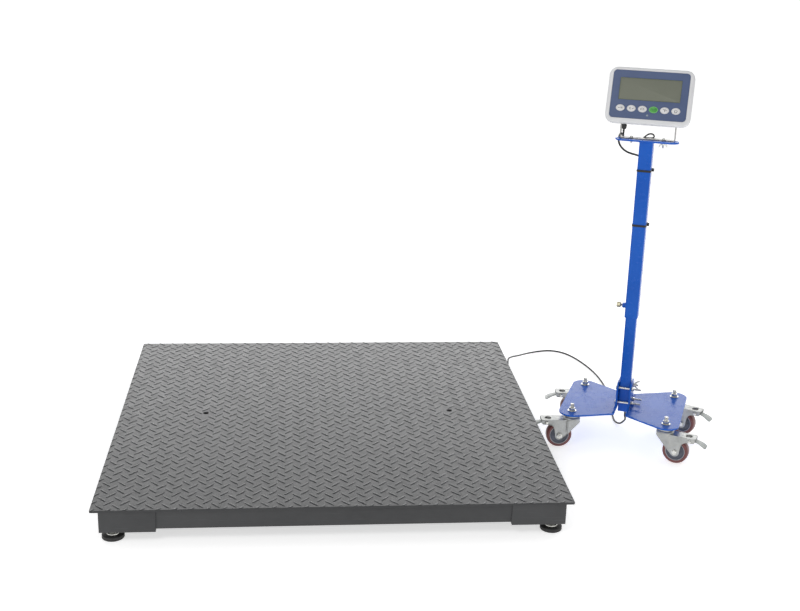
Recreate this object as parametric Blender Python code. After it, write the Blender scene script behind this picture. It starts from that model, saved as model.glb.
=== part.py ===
"""Platform shipping scale: a low load-cell platform with a rolling column stand that carries a tilting indicator.

Frame: metres, +Z up. The floor is Z = 0, +X runs from the platform towards the stand, -Y is the side the keys face.
The origin is the bottom centre of the whole object's box, cord left out.
"""

import math

import bmesh
import bpy
from mathutils import Matrix, Vector

# ---------------------------------------------------------------- driving dimensions (metres)
FRAME_X = 0.2800  # platform centre to the centre of the whole object's box
GAP = 0.0003  # clearance between touching pieces

DECK = 1.2192  # square deck, 48 in
DECK_TOP = 0.0900
DECK_T = 0.0060
DECK_CORNER_R = 0.0040
LIFT_HOLE_X = 0.3620  # two threaded lifting holes
LIFT_HOLE_R = 0.0079

SKIRT_X = 0.5890  # outer face of the side channels
CHANNEL_W = 0.1400
CHANNEL_Y = 0.6065
CHANNEL_BOTTOM = 0.0270
CHANNEL_T = 0.0050
RAIL_Y = 0.6035
RAIL_BOTTOM = 0.0350
RAIL_DEPTH = 0.0400
RAIL_T = 0.0050
RIB_X = 0.1500
RIB_W = 0.0500
RIB_BOTTOM = 0.0450
FOOT_X = 0.5585
FOOT_Y = 0.5750
FOOT_R = 0.0285
CELL_W = 0.0320
CELL_Y = (0.4840, 0.5985)
CELL_Z = (0.0360, 0.0680)
JBOX_X = (0.2450, 0.3550)
JBOX_Y = (0.3600, 0.4400)
JBOX_Z = (0.0505, 0.0835)
PLATFORM_GLAND = (SKIRT_X, 0.4600, 0.0550)

STAND_X, STAND_Y = 0.8930, -0.0130  # column centre, from the platform centre
STAND_YAW = math.radians(-23.0)
WING_Z = (0.1070, 0.1120)
WING_IN_X = 0.0175
WING_IN_Y = 0.0920
STEM_X, STEM_Y = 0.1380, 0.1130
WING_PAD_R = 0.0380
FLANGE_X = (0.0165, 0.0215)
FLANGE_TOP = 0.1870
BAR_Z = (0.1230, 0.1690)
BAR_Y = 0.0195
BAR_R = 0.0030
LOWER_TUBE = 0.03175  # 1 1/4 in square
LOWER_WALL = 0.0020
LOWER_Z = (0.0920, 0.6600)
UPPER_TUBE = 0.0381  # 1 1/2 in square
UPPER_WALL = 0.0025
UPPER_Z = (0.3900, 0.9130)
TOP_PLATE_X = 0.0895
TOP_PLATE_Y = 0.0225
TOP_PLATE_Z = (0.9120, 0.9170)
CLAMP_Z = 0.4225
TIE_Z = (0.6700, 0.8300)
TIE_H = 0.0045
TIE_T = 0.0013

WHEEL_R = 0.0381  # 3 in
WHEEL_W = 0.0250
TRAIL = 0.0360
FORK_V = (0.0160, 0.0185)
ARM_END = 0.0920
PEDAL_PIVOT = (0.0760, 0.0795)
CASTERS = {  # name: (side along the stand's x, side along its y, heading of the trail in the world)
    "fl": (-1, -1, math.radians(178.0)),
    "bl": (-1, 1, math.radians(175.0)),
    "fr": (1, -1, math.radians(-31.0)),
    "br": (1, 1, math.radians(-38.0)),
}

BRACKET_Y = 0.0060
BRACKET_HALF = 0.0120
BRACKET_X = (0.0753, 0.0773)
BRACKET_Z = 0.9173
PIVOT_Z = 1.0300
TILT = math.radians(18.0)
CASE_W, CASE_H, CASE_R = 0.2360, 0.1570, 0.0240
PANEL_W, PANEL_H, PANEL_R = 0.2100, 0.1330, 0.0100
PANEL_UP = 0.0020
FRONT_Y = -0.0465
SPLIT_Y = -0.0300
BACK_Y = -0.0150
HUMP_W, HUMP_H, HUMP_R = 0.1500, 0.1100, 0.0100
HUMP_Y = 0.0160
WINDOW_W, WINDOW_H, WINDOW_UP = 0.1690, 0.0610, 0.0175
KEY_PITCH, KEY_UP, KEY_A, KEY_B = 0.0305, -0.0370, 0.0121, 0.0090
KEY_TRAVEL = 0.0012
GLAND_X, GLAND_Y = -0.0620, -0.0220

CORD_R = 0.00275

# ---------------------------------------------------------------- colours: name, RGB, roughness, metallic
FINISHES = {
    "charcoal_powder_coat": ((0.060, 0.061, 0.064), 0.55, 0.2),
    "deck_powder_coat": ((0.120, 0.120, 0.125), 0.5, 0.25),
    "blue_powder_coat": ((0.035, 0.125, 0.520), 0.30, 0.0),
    "zinc_plate": ((0.62, 0.62, 0.58), 0.35, 0.9),
    "stainless": ((0.60, 0.60, 0.60), 0.35, 1.0),
    "nickel_alloy": ((0.50, 0.50, 0.49), 0.3, 1.0),
    "black_rubber": ((0.020, 0.020, 0.020), 0.7, 0.0),
    "maroon_polyurethane": ((0.190, 0.045, 0.042), 0.4, 0.0),
    "pale_pedal": ((0.62, 0.66, 0.63), 0.4, 0.0),
    "off_white_abs": ((0.76, 0.76, 0.77), 0.4, 0.0),
    "panel_blue": ((0.090, 0.130, 0.270), 0.35, 0.0),
    "display_olive": ((0.170, 0.180, 0.130), 0.25, 0.0),
    "key_white": ((0.76, 0.76, 0.75), 0.4, 0.0),
    "key_green": ((0.080, 0.450, 0.080), 0.4, 0.0),
    "black_plastic": ((0.018, 0.018, 0.018), 0.45, 0.0),
    "cable_black": ((0.014, 0.014, 0.014), 0.45, 0.0),
    "board_green": ((0.02, 0.16, 0.06), 0.5, 0.0),
}


def clear_scene():
    for obj in list(bpy.data.objects):
        bpy.data.objects.remove(obj, do_unlink=True)


def make_finishes():
    made = {}
    for name, (rgb, rough, metal) in FINISHES.items():
        mat = bpy.data.materials.new(name)
        mat.use_nodes = True
        shader = mat.node_tree.nodes["Principled BSDF"]
        shader.inputs["Base Color"].default_value = (*rgb, 1.0)
        shader.inputs["Roughness"].default_value = rough
        shader.inputs["Metallic"].default_value = metal
        mat.diffuse_color = (*rgb, 1.0)
        made[name] = mat
    return made


# ---------------------------------------------------------------- mesh helpers
def empty(name, parent, location=(0, 0, 0), rotation=(0, 0, 0)):
    obj = bpy.data.objects.new(name, None)
    obj.empty_display_size = 0.02
    bpy.context.scene.collection.objects.link(obj)
    obj.parent = parent
    obj.location = location
    obj.rotation_euler = rotation
    return obj


def finish_mesh(name, bm, finish, parent, location=(0, 0, 0), rotation=(0, 0, 0), smooth=True):
    bmesh.ops.recalc_face_normals(bm, faces=bm.faces)
    mesh = bpy.data.meshes.new(name)
    bm.to_mesh(mesh)
    bm.free()
    if smooth:
        mesh.shade_smooth()
        mesh.set_sharp_from_angle(angle=math.radians(38))
    obj = bpy.data.objects.new(name, mesh)
    if finish:
        mesh.materials.append(MATERIALS[finish])
    bpy.context.scene.collection.objects.link(obj)
    obj.parent = parent
    obj.location = location
    obj.rotation_euler = rotation
    return obj


def boolean(obj, operation, bm, tag):
    """Joins or cuts with a helper that sits at the same place as obj."""
    helper = finish_mesh(
        f"{obj.name}_{tag}", bm, None, obj.parent, obj.location, obj.rotation_euler, smooth=False
    )
    helper.hide_render = True
    helper.display_type = "WIRE"
    mod = obj.modifiers.new(tag, "BOOLEAN")
    mod.operation = operation
    mod.solver = "EXACT"
    mod.object = helper
    return obj


def add_loft(bm, loops):
    """Loops of equal length, joined side by side, with flat ends."""
    rows = [[bm.verts.new(point) for point in loop] for loop in loops]
    count = len(rows[0])
    for low, high in zip(rows, rows[1:]):
        for i in range(count):
            j = (i + 1) % count
            bm.faces.new((low[i], low[j], high[j], high[i]))
    bm.faces.new(rows[0])
    bm.faces.new(rows[-1])
    return bm


def add_box(bm, x, y, z):
    bottom = [(x[0], y[0]), (x[1], y[0]), (x[1], y[1]), (x[0], y[1])]
    return add_loft(bm, [[(a, b, h) for a, b in bottom] for h in z])


def add_prism(bm, outline, span, axis="z"):
    """A flat outline extruded along an axis. Its two numbers are the other two axes, in alphabetical order."""
    def at(a, b, h):
        return {"x": (h, a, b), "y": (a, h, b), "z": (a, b, h)}[axis]

    return add_loft(bm, [[at(a, b, h) for a, b in outline] for h in span])


def add_cylinder(bm, radius, span, centre=(0, 0), axis="z", sides=20):
    outline = [
        (
            centre[0] + radius * math.cos(2 * math.pi * i / sides),
            centre[1] + radius * math.sin(2 * math.pi * i / sides),
        )
        for i in range(sides)
    ]
    return add_prism(bm, outline, span, axis)


def add_turned(bm, profile, sides, matrix=None, ring=False):
    """Turns (radius, height) points about Z. A ring profile closes on itself; the others start and end on the axis."""
    rows = []
    for radius, height in profile:
        if radius < 1e-9:
            points = [Vector((0, 0, height))]
        else:
            points = [
                Vector(
                    (
                        radius * math.cos(2 * math.pi * i / sides),
                        radius * math.sin(2 * math.pi * i / sides),
                        height,
                    )
                )
                for i in range(sides)
            ]
        rows.append([bm.verts.new(matrix @ p if matrix else p) for p in points])
    pairs = list(zip(rows, rows[1:]))
    if ring:
        pairs.append((rows[-1], rows[0]))
    for low, high in pairs:
        for i in range(sides):
            j = (i + 1) % sides
            corners = []
            for vert in (low[i % len(low)], low[j % len(low)], high[j % len(high)], high[i % len(high)]):
                if vert not in corners:
                    corners.append(vert)
            if len(corners) > 2:
                bm.faces.new(corners)
    return bm


def rounded_rect(width, height, radius, inset=0.0, centre=(0, 0), steps=4):
    half_w, half_h = width / 2 - inset, height / 2 - inset
    radius = max(radius - inset, 0.0005)
    points = []
    for quarter, (sx, sy) in enumerate(((1, 1), (-1, 1), (-1, -1), (1, -1))):
        for i in range(steps + 1):
            angle = math.pi / 2 * (quarter + i / steps)
            points.append(
                (
                    centre[0] + sx * (half_w - radius) + radius * math.cos(angle),
                    centre[1] + sy * (half_h - radius) + radius * math.sin(angle),
                )
            )
    return points


def hull(points):
    """Convex outline of the points, anticlockwise."""
    points = sorted(set((round(x, 7), round(y, 7)) for x, y in points))

    def half(seq):
        out = []
        for p in seq:
            while len(out) > 1 and (out[-1][0] - out[-2][0]) * (p[1] - out[-2][1]) - (
                out[-1][1] - out[-2][1]
            ) * (p[0] - out[-2][0]) <= 1e-12:
                out.pop()
            out.append(p)
        return out[:-1]

    return half(points) + half(points[::-1])


def smooth_route(points, count):
    """Evenly spaced points on a centripetal Catmull-Rom curve through the given ones."""
    pts = [Vector(p) for p in points]
    pts = [2 * pts[0] - pts[1], *pts, 2 * pts[-1] - pts[-2]]
    fine = []
    for p0, p1, p2, p3 in zip(pts, pts[1:], pts[2:], pts[3:]):
        t = [0.0]
        for a, b in ((p0, p1), (p1, p2), (p2, p3)):
            t.append(t[-1] + max((b - a).length, 1e-9) ** 0.5)
        for k in range(24):
            u = t[1] + (t[2] - t[1]) * k / 24
            a1 = p0.lerp(p1, (u - t[0]) / (t[1] - t[0]))
            a2 = p1.lerp(p2, (u - t[1]) / (t[2] - t[1]))
            a3 = p2.lerp(p3, (u - t[2]) / (t[3] - t[2]))
            b1 = a1.lerp(a2, (u - t[0]) / (t[2] - t[0]))
            b2 = a2.lerp(a3, (u - t[1]) / (t[3] - t[1]))
            fine.append(b1.lerp(b2, (u - t[1]) / (t[2] - t[1])))
    fine.append(pts[-2])
    along = [0.0]
    for a, b in zip(fine, fine[1:]):
        along.append(along[-1] + (b - a).length)
    even, k = [], 0
    for i in range(count):
        want = along[-1] * i / (count - 1)
        while k < len(along) - 2 and along[k + 1] < want:
            k += 1
        step = along[k + 1] - along[k]
        even.append(fine[k].lerp(fine[k + 1], (want - along[k]) / step if step else 0.0))
    return even


def cord(name, points, count, parent, lead_in=(0, 0, 0), lead_out=(0, 0, 0)):
    """A plain tube on a smooth route, with a short straight stretch at either end that squares its face."""
    curve = bpy.data.curves.new(name, "CURVE")
    curve.dimensions = "3D"
    curve.bevel_depth = CORD_R
    curve.bevel_resolution = 2
    curve.use_fill_caps = True
    spline = curve.splines.new("POLY")
    lead_in, lead_out = Vector(lead_in), Vector(lead_out)
    route = smooth_route(
        [Vector(points[0]) + lead_in, *points[1:-1], Vector(points[-1]) - lead_out], count
    )
    if lead_in.length:
        route.insert(0, Vector(points[0]))
    if lead_out.length:
        route.append(Vector(points[-1]))
    spline.points.add(len(route) - 1)
    for point, place in zip(spline.points, route):
        point.co = (*place, 1.0)
    curve.materials.append(MATERIALS["cable_black"])
    obj = bpy.data.objects.new(name, curve)
    bpy.context.scene.collection.objects.link(obj)
    obj.parent = parent
    return obj


# ---------------------------------------------------------------- platform
def build_platform(root):
    bm = add_prism(bmesh.new(), rounded_rect(DECK, DECK, DECK_CORNER_R, steps=2), (DECK_TOP - DECK_T, DECK_TOP))
    deck = finish_mesh("deck_plate", bm, "deck_powder_coat", root)
    cut = bmesh.new()
    for side in (-1, 1):
        add_cylinder(cut, LIFT_HOLE_R, (DECK_TOP - 0.02, DECK_TOP + 0.02), (side * LIFT_HOLE_X, 0), sides=18)
    boolean(deck, "DIFFERENCE", cut, "lifting_holes")

    top = DECK_TOP - DECK_T - GAP
    for name, side in (("side_channel_left", -1), ("side_channel_right", 1)):
        x = sorted((side * SKIRT_X, side * (SKIRT_X - CHANNEL_W)))
        bm = add_box(bmesh.new(), x, (-CHANNEL_Y, CHANNEL_Y), (CHANNEL_BOTTOM, top))
        channel = finish_mesh(name, bm, "charcoal_powder_coat", root, smooth=False)
        cut = add_box(
            bmesh.new(),
            (x[0] + CHANNEL_T, x[1] - CHANNEL_T),
            (-CHANNEL_Y + CHANNEL_T + 0.001, CHANNEL_Y - CHANNEL_T - 0.001),
            (CHANNEL_BOTTOM - 0.02, top - CHANNEL_T),
        )
        boolean(channel, "DIFFERENCE", cut, "inside")
        if side > 0:
            cut = add_cylinder(
                bmesh.new(), 0.0062, (SKIRT_X - 0.02, SKIRT_X + 0.02), PLATFORM_GLAND[1:], "x", 16
            )
            boolean(channel, "DIFFERENCE", cut, "gland_hole")

    bm = bmesh.new()
    c_top = top - 0.0001
    half = SKIRT_X - CHANNEL_W - GAP

    def c_profile(sign):
        return [
            (sign * y, z)
            for y, z in (
                (RAIL_Y, RAIL_BOTTOM),
                (RAIL_Y, c_top),
                (RAIL_Y - RAIL_DEPTH, c_top),
                (RAIL_Y - RAIL_DEPTH, c_top - RAIL_T),
                (RAIL_Y - RAIL_T, c_top - RAIL_T),
                (RAIL_Y - RAIL_T, RAIL_BOTTOM + RAIL_T),
                (RAIL_Y - RAIL_DEPTH, RAIL_BOTTOM + RAIL_T),
                (RAIL_Y - RAIL_DEPTH, RAIL_BOTTOM),
            )
        ]

    add_prism(bm, c_profile(-1), (-half, half), "x")
    frame = finish_mesh("cross_frame", bm, "charcoal_powder_coat", root, smooth=False)
    more = add_prism(bmesh.new(), c_profile(1), (-half, half), "x")
    for side in (-1, 1):
        x0, x1 = side * RIB_X - RIB_W / 2, side * RIB_X + RIB_W / 2
        wall, high = 0.004, c_top - 0.0003
        rib = [
            (x0, RIB_BOTTOM), (x0, high), (x1, high), (x1, RIB_BOTTOM),
            (x1 - wall, RIB_BOTTOM), (x1 - wall, high - wall), (x0 + wall, high - wall), (x0 + wall, RIB_BOTTOM),
        ]
        bars = add_prism(bmesh.new(), rib, (-RAIL_Y + 0.003, RAIL_Y - 0.003), "y")
        boolean(frame, "UNION", bars, "rib_left" if side < 0 else "rib_right")
    boolean(frame, "UNION", more, "rear_rail")

    for tag, sx, sy in (("fl", -1, -1), ("fr", 1, -1), ("bl", -1, 1), ("br", 1, 1)):
        x = (sx * FOOT_X - CELL_W / 2, sx * FOOT_X + CELL_W / 2)
        y = sorted((sy * CELL_Y[0], sy * CELL_Y[1]))
        cell = finish_mesh(
            f"load_cell_{tag}", add_box(bmesh.new(), x, y, CELL_Z), "nickel_alloy", root, smooth=False
        )
        inner = sy * CELL_Y[0]
        pad = add_box(
            bmesh.new(),
            (x[0] + 0.001, x[1] - 0.001),
            sorted((inner + sy * 0.001, inner + sy * 0.036)),
            (CELL_Z[1] - 0.004, top - CHANNEL_T - GAP),
        )
        boolean(cell, "UNION", pad, "spacer")
        cut = add_cylinder(
            bmesh.new(), 0.0105, (x[0] - 0.01, x[1] + 0.01), (sy * 0.536, sum(CELL_Z) / 2), "x", 12
        )
        boolean(cell, "DIFFERENCE", cut, "flexure")
        cut = add_cylinder(
            bmesh.new(), 0.0065, (CELL_Z[0] - 0.01, CELL_Z[1] + 0.01), (sx * FOOT_X, sy * FOOT_Y), sides=10
        )
        boolean(cell, "DIFFERENCE", cut, "stem_bore")

        turn = empty(f"axis_foot_{tag}", root, (sx * FOOT_X, sy * FOOT_Y, 0))
        profile = (
            (0, 0), (FOOT_R - 0.0015, 0), (FOOT_R, 0.0015), (FOOT_R, 0.0085), (FOOT_R - 0.003, 0.0110),
            (0.0110, 0.0145), (0.0110, 0.0230), (0.0060, 0.0240), (0.0060, 0.0630), (0, 0.0630),
        )
        finish_mesh(f"foot_{tag}", add_turned(bmesh.new(), profile, 16), "black_rubber", turn)

    bm = add_prism(bmesh.new(), rounded_rect(
        JBOX_X[1] - JBOX_X[0], JBOX_Y[1] - JBOX_Y[0], 0.006, centre=(sum(JBOX_X) / 2, sum(JBOX_Y) / 2), steps=2
    ), JBOX_Z)
    finish_mesh("junction_box", bm, "stainless", root)

    profile = (
        (0, -0.0080), (0.0058, -0.0080), (0.0058, GAP), (0.0100, GAP), (0.0100, 0.0060), (0.0088, 0.0066),
        (0.0085, 0.0150), (0.0062, 0.0190), (0, 0.0190),
    )
    matrix = Matrix.Rotation(math.pi / 2, 4, "Y")
    finish_mesh(
        "platform_cable_gland", add_turned(bmesh.new(), profile, 12, matrix), "black_plastic", root, PLATFORM_GLAND
    )


# ---------------------------------------------------------------- stand
def build_wing(name, side, stand):
    points = [(side * WING_IN_X, -WING_IN_Y + 0.006), (side * WING_IN_X, WING_IN_Y - 0.006),
              (side * (WING_IN_X + 0.006), -WING_IN_Y), (side * (WING_IN_X + 0.006), WING_IN_Y)]
    for end in (-1, 1):
        for i in range(20):
            angle = 2 * math.pi * i / 20
            points.append(
                (
                    side * STEM_X + WING_PAD_R * math.cos(angle),
                    end * STEM_Y + WING_PAD_R * math.sin(angle),
                )
            )
    wing = finish_mesh(name, add_prism(bmesh.new(), hull(points), WING_Z), "blue_powder_coat", stand)
    outline = [
        (-0.0880, WING_Z[0] + 0.0012), (0.0880, WING_Z[0] + 0.0012), (0.0880, WING_Z[1] + 0.0015),
        (0.0400, 0.1290), (0.0400, 0.1720), (0.0260, FLANGE_TOP), (-0.0260, FLANGE_TOP),
        (-0.0400, 0.1720), (-0.0400, 0.1290), (-0.0880, WING_Z[1] + 0.0015),
    ]
    span = sorted((side * FLANGE_X[0], side * FLANGE_X[1]))
    boolean(wing, "UNION", add_prism(bmesh.new(), outline, span, "x"), "flange")
    cut = bmesh.new()
    for end in (-1, 1):
        add_cylinder(cut, 0.0065, (0.09, 0.13), (side * STEM_X, end * STEM_Y), sides=12)
        for z in BAR_Z:
            add_cylinder(cut, BAR_R + 0.0004, (span[0] - 0.004, span[1] + 0.004), (end * BAR_Y, z), "x", 10)
    boolean(wing, "DIFFERENCE", cut, "holes")


def build_caster(tag, stand):
    sx, sy, heading = CASTERS[tag]
    place = (sx * STEM_X, sy * STEM_Y, 0)
    profile = (
        (0, 0.0850), (0.0050, 0.0850), (0.0050, 0.0963), (0.0225, 0.0963), (0.0235, 0.1030),
        (0.0125, 0.1045), (0.0125, WING_Z[0] - GAP), (0.0058, WING_Z[0] - GAP), (0.0058, WING_Z[1] + GAP),
        (0.0130, WING_Z[1] + GAP), (0.0130, 0.1141), (0.0085, 0.1141), (0.0085, 0.1215), (0.0058, 0.1220),
        (0.0050, 0.1345), (0, 0.1345),
    )
    finish_mesh(f"caster_stem_{tag}", add_turned(bmesh.new(), profile, 12), "zinc_plate", stand, place)

    swivel = empty(f"axis_swivel_{tag}", stand, place, (0, 0, heading - STAND_YAW))
    crown = add_box(bmesh.new(), (-0.0200, ARM_END), (-0.0190, 0.0190), (0.0862, 0.0890))
    fork = finish_mesh(f"caster_fork_{tag}", crown, "zinc_plate", swivel)
    plate = [(-0.0195, 0.0885), (-0.0215, 0.0790)]
    for i in range(6):
        angle = math.radians(205 + (335 - 205) * i / 5)
        plate.append((TRAIL + 0.0130 * math.cos(angle), WHEEL_R + 0.0130 * math.sin(angle)))
    plate += [(0.0530, 0.0640), (0.0570, 0.0710), (0.0630, 0.0740), (0.0900, 0.0740), (ARM_END - 0.0005, 0.0885)]
    sides = bmesh.new()
    for v in (-1, 1):
        add_prism(sides, plate, sorted((v * FORK_V[0], v * FORK_V[1])), "y")
    boolean(fork, "UNION", sides, "side_plates")
    boolean(fork, "UNION", add_cylinder(bmesh.new(), 0.0255, (0.0870, 0.0960), sides=18), "raceway")
    axle = add_turned(
        bmesh.new(),
        ((0, -0.0235), (0.0075, -0.0230), (0.0075, -0.0180), (0.0040, -0.0180),
         (0.0040, 0.0180), (0.0075, 0.0180), (0.0075, 0.0230), (0, 0.0235)),
        10,
        Matrix.Translation((TRAIL, 0, WHEEL_R)) @ Matrix.Rotation(math.pi / 2, 4, "X"),
    )
    boolean(fork, "UNION", axle, "axle_bolt")
    cut = add_cylinder(bmesh.new(), 0.0056, (0.08, 0.10), sides=10)
    add_box(cut, (0.0620, 0.0790), (-0.0095, 0.0095), (0.0840, 0.0920))
    boolean(fork, "DIFFERENCE", cut, "kingpin_and_slot")

    spin = empty(f"axis_wheel_{tag}", swivel, (TRAIL, 0, WHEEL_R))
    half = WHEEL_W / 2
    profile = (
        (0.0046, -0.0152), (0.0120, -0.0152), (0.0140, -0.0085), (0.0250, -0.0085), (0.0275, -half),
        (WHEEL_R - 0.0022, -half), (WHEEL_R, -half + 0.0030), (WHEEL_R, half - 0.0030), (WHEEL_R - 0.0022, half),
        (0.0275, half), (0.0250, 0.0085), (0.0140, 0.0085), (0.0120, 0.0152), (0.0046, 0.0152),
    )
    turn = Matrix.Rotation(math.pi / 2, 4, "X")
    finish_mesh(
        f"caster_wheel_{tag}", add_turned(bmesh.new(), profile, 20, turn, ring=True), "maroon_polyurethane", spin
    )

    pivot = empty(f"axis_pedal_{tag}", swivel, (PEDAL_PIVOT[0], 0, PEDAL_PIVOT[1]))
    lever = [
        (-0.0060, -0.0022), (0.0040, -0.0028), (0.0160, -0.0030), (0.0320, -0.0090), (0.0465, -0.0172),
        (0.0480, -0.0145), (0.0340, -0.0058), (0.0180, 0.0002), (0.0040, 0.0022), (-0.0060, 0.0018),
    ]
    pedal = finish_mesh(
        f"brake_pedal_{tag}", add_prism(bmesh.new(), lever, (-0.0125, 0.0125), "y"), "pale_pedal", pivot
    )
    boolean(pedal, "UNION", add_cylinder(bmesh.new(), 0.0033, (-0.0157, 0.0157), (0, 0), "y", 12), "pin")


def build_stand(root):
    stand = empty("stand_origin", root, (STAND_X, STAND_Y, 0), (0, 0, STAND_YAW))
    build_wing("base_wing_left", -1, stand)
    build_wing("base_wing_right", 1, stand)
    matrix = Matrix.Rotation(math.pi / 2, 4, "Y")
    outer = FLANGE_X[1]
    profile = (
        (0, -outer - 0.0050), (0.0045, -outer - 0.0044), (0.0068, -outer - GAP),
        (BAR_R, -outer - GAP), (BAR_R, outer + GAP), (0.0068, outer + GAP),
        (0.0050, outer + 0.0068), (BAR_R, outer + 0.0070), (0.0026, 0.0495), (0, 0.0495),
    )
    for level, z in zip(("lower", "upper"), BAR_Z):
        for where, y in (("front", -BAR_Y), ("rear", BAR_Y)):
            finish_mesh(
                f"clamp_bolt_{where}_{level}", add_turned(bmesh.new(), profile, 10, matrix), "stainless", stand,
                (0, y, z),
            )

    bm = add_prism(bmesh.new(), rounded_rect(LOWER_TUBE, LOWER_TUBE, 0.0030, steps=3), LOWER_Z)
    lower = finish_mesh("lower_column_tube", bm, "blue_powder_coat", stand)
    bore = LOWER_TUBE - 2 * LOWER_WALL
    cut = add_prism(bmesh.new(), rounded_rect(bore, bore, 0.0012, steps=2), (LOWER_Z[0] - 0.01, LOWER_Z[1] + 0.01))
    boolean(lower, "DIFFERENCE", cut, "bore")

    rise = empty("axis_column_height", stand)
    bm = add_prism(bmesh.new(), rounded_rect(UPPER_TUBE, UPPER_TUBE, 0.0035, steps=3), UPPER_Z)
    upper = finish_mesh("upper_column_tube", bm, "blue_powder_coat", rise)
    plate = hull(
        [
            (s * (TOP_PLATE_X - TOP_PLATE_Y) + TOP_PLATE_Y * math.cos(a), TOP_PLATE_Y * math.sin(a))
            for s in (-1, 1)
            for a in (2 * math.pi * i / 20 for i in range(20))
        ]
    )
    boolean(upper, "UNION", add_prism(bmesh.new(), plate, TOP_PLATE_Z), "top_plate")
    boolean(
        upper, "UNION",
        add_cylinder(bmesh.new(), 0.0080, (-0.0295, -0.0178), (0, CLAMP_Z), "x", 6), "screw_boss",
    )
    bore = UPPER_TUBE - 2 * UPPER_WALL
    cut = add_prism(bmesh.new(), rounded_rect(bore, bore, 0.0012, steps=2), (UPPER_Z[0] - 0.01, TOP_PLATE_Z[0] - 0.001))
    boolean(upper, "DIFFERENCE", cut, "bore")
    cut = add_cylinder(bmesh.new(), 0.0034, (-0.0350, -0.0100), (0, CLAMP_Z), "x", 10)
    for side in (-1, 1):
        add_cylinder(cut, 0.0045, (0.90, 0.93), (side * 0.0800, 0), sides=10)
        add_cylinder(cut, 0.0034, (0.90, 0.93), (side * 0.0450, BRACKET_Y), sides=8)
    boolean(upper, "DIFFERENCE", cut, "holes")

    screw = empty("axis_clamp_screw", rise, (-0.0300, 0, CLAMP_Z))
    profile = (
        (0, 0.0139), (0.0030, 0.0139), (0.0030, -0.0030), (0.0060, -0.0040), (0.0080, -0.0060),
        (0.0080, -0.0140), (0.0065, -0.0165), (0, -0.0165),
    )
    finish_mesh("clamp_screw", add_turned(bmesh.new(), profile, 12, matrix), "stainless", screw)

    half = UPPER_TUBE / 2
    y_back = half + GAP + 2 * CORD_R + 2 * GAP
    for tag, z in zip(("lower", "upper"), TIE_Z):
        centre_y = (y_back - half - GAP) / 2
        span_x, span_y = 2 * (half + GAP), half + GAP + y_back
        span = (z - TIE_H / 2, z + TIE_H / 2)
        bm = add_prism(
            bmesh.new(),
            rounded_rect(span_x + 2 * TIE_T, span_y + 2 * TIE_T, 0.0045, centre=(0, centre_y), steps=3),
            span,
        )
        tie = finish_mesh(f"cable_tie_{tag}", bm, "black_plastic", rise)
        head = add_box(
            bmesh.new(), (half + 0.0008, half + 0.0065), (0.0080, 0.0150), (z - 0.0031, z + 0.0031)
        )
        boolean(tie, "UNION", head, "head")
        cut = add_prism(
            bmesh.new(), rounded_rect(span_x, span_y, 0.0033, centre=(0, centre_y), steps=3), (z - 0.01, z + 0.01)
        )
        boolean(tie, "DIFFERENCE", cut, "inside")

    for tag in CASTERS:
        build_caster(tag, stand)

    inner_x, outer_x = BRACKET_X
    bm = add_box(
        bmesh.new(),
        (-outer_x + 0.0002, outer_x - 0.0002),
        (BRACKET_Y - BRACKET_HALF + 0.0002, BRACKET_Y + BRACKET_HALF - 0.0002),
        (BRACKET_Z, BRACKET_Z + 0.0020),
    )
    bracket = finish_mesh("indicator_bracket", bm, "stainless", rise)
    arm = [(BRACKET_Y - BRACKET_HALF, BRACKET_Z + 0.0002), (BRACKET_Y + BRACKET_HALF, BRACKET_Z + 0.0002)]
    for i in range(9):
        angle = math.pi * i / 8
        arm.append((BRACKET_Y + BRACKET_HALF * math.cos(angle), PIVOT_Z + BRACKET_HALF * math.sin(angle)))
    arms = bmesh.new()
    for side in (-1, 1):
        add_prism(arms, arm, sorted((side * inner_x, side * outer_x)), "x")
    boolean(bracket, "UNION", arms, "arms")
    cut = add_cylinder(bmesh.new(), 0.0034, (-0.10, 0.10), (BRACKET_Y, PIVOT_Z), "x", 10)
    for side in (-1, 1):
        add_cylinder(cut, 0.0034, (0.90, 0.93), (side * 0.0450, BRACKET_Y), sides=8)
    boolean(bracket, "DIFFERENCE", cut, "holes")
    return stand, rise


# ---------------------------------------------------------------- indicator
def y_loop(outline, y):
    return [(x, y, z) for x, z in outline]


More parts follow.
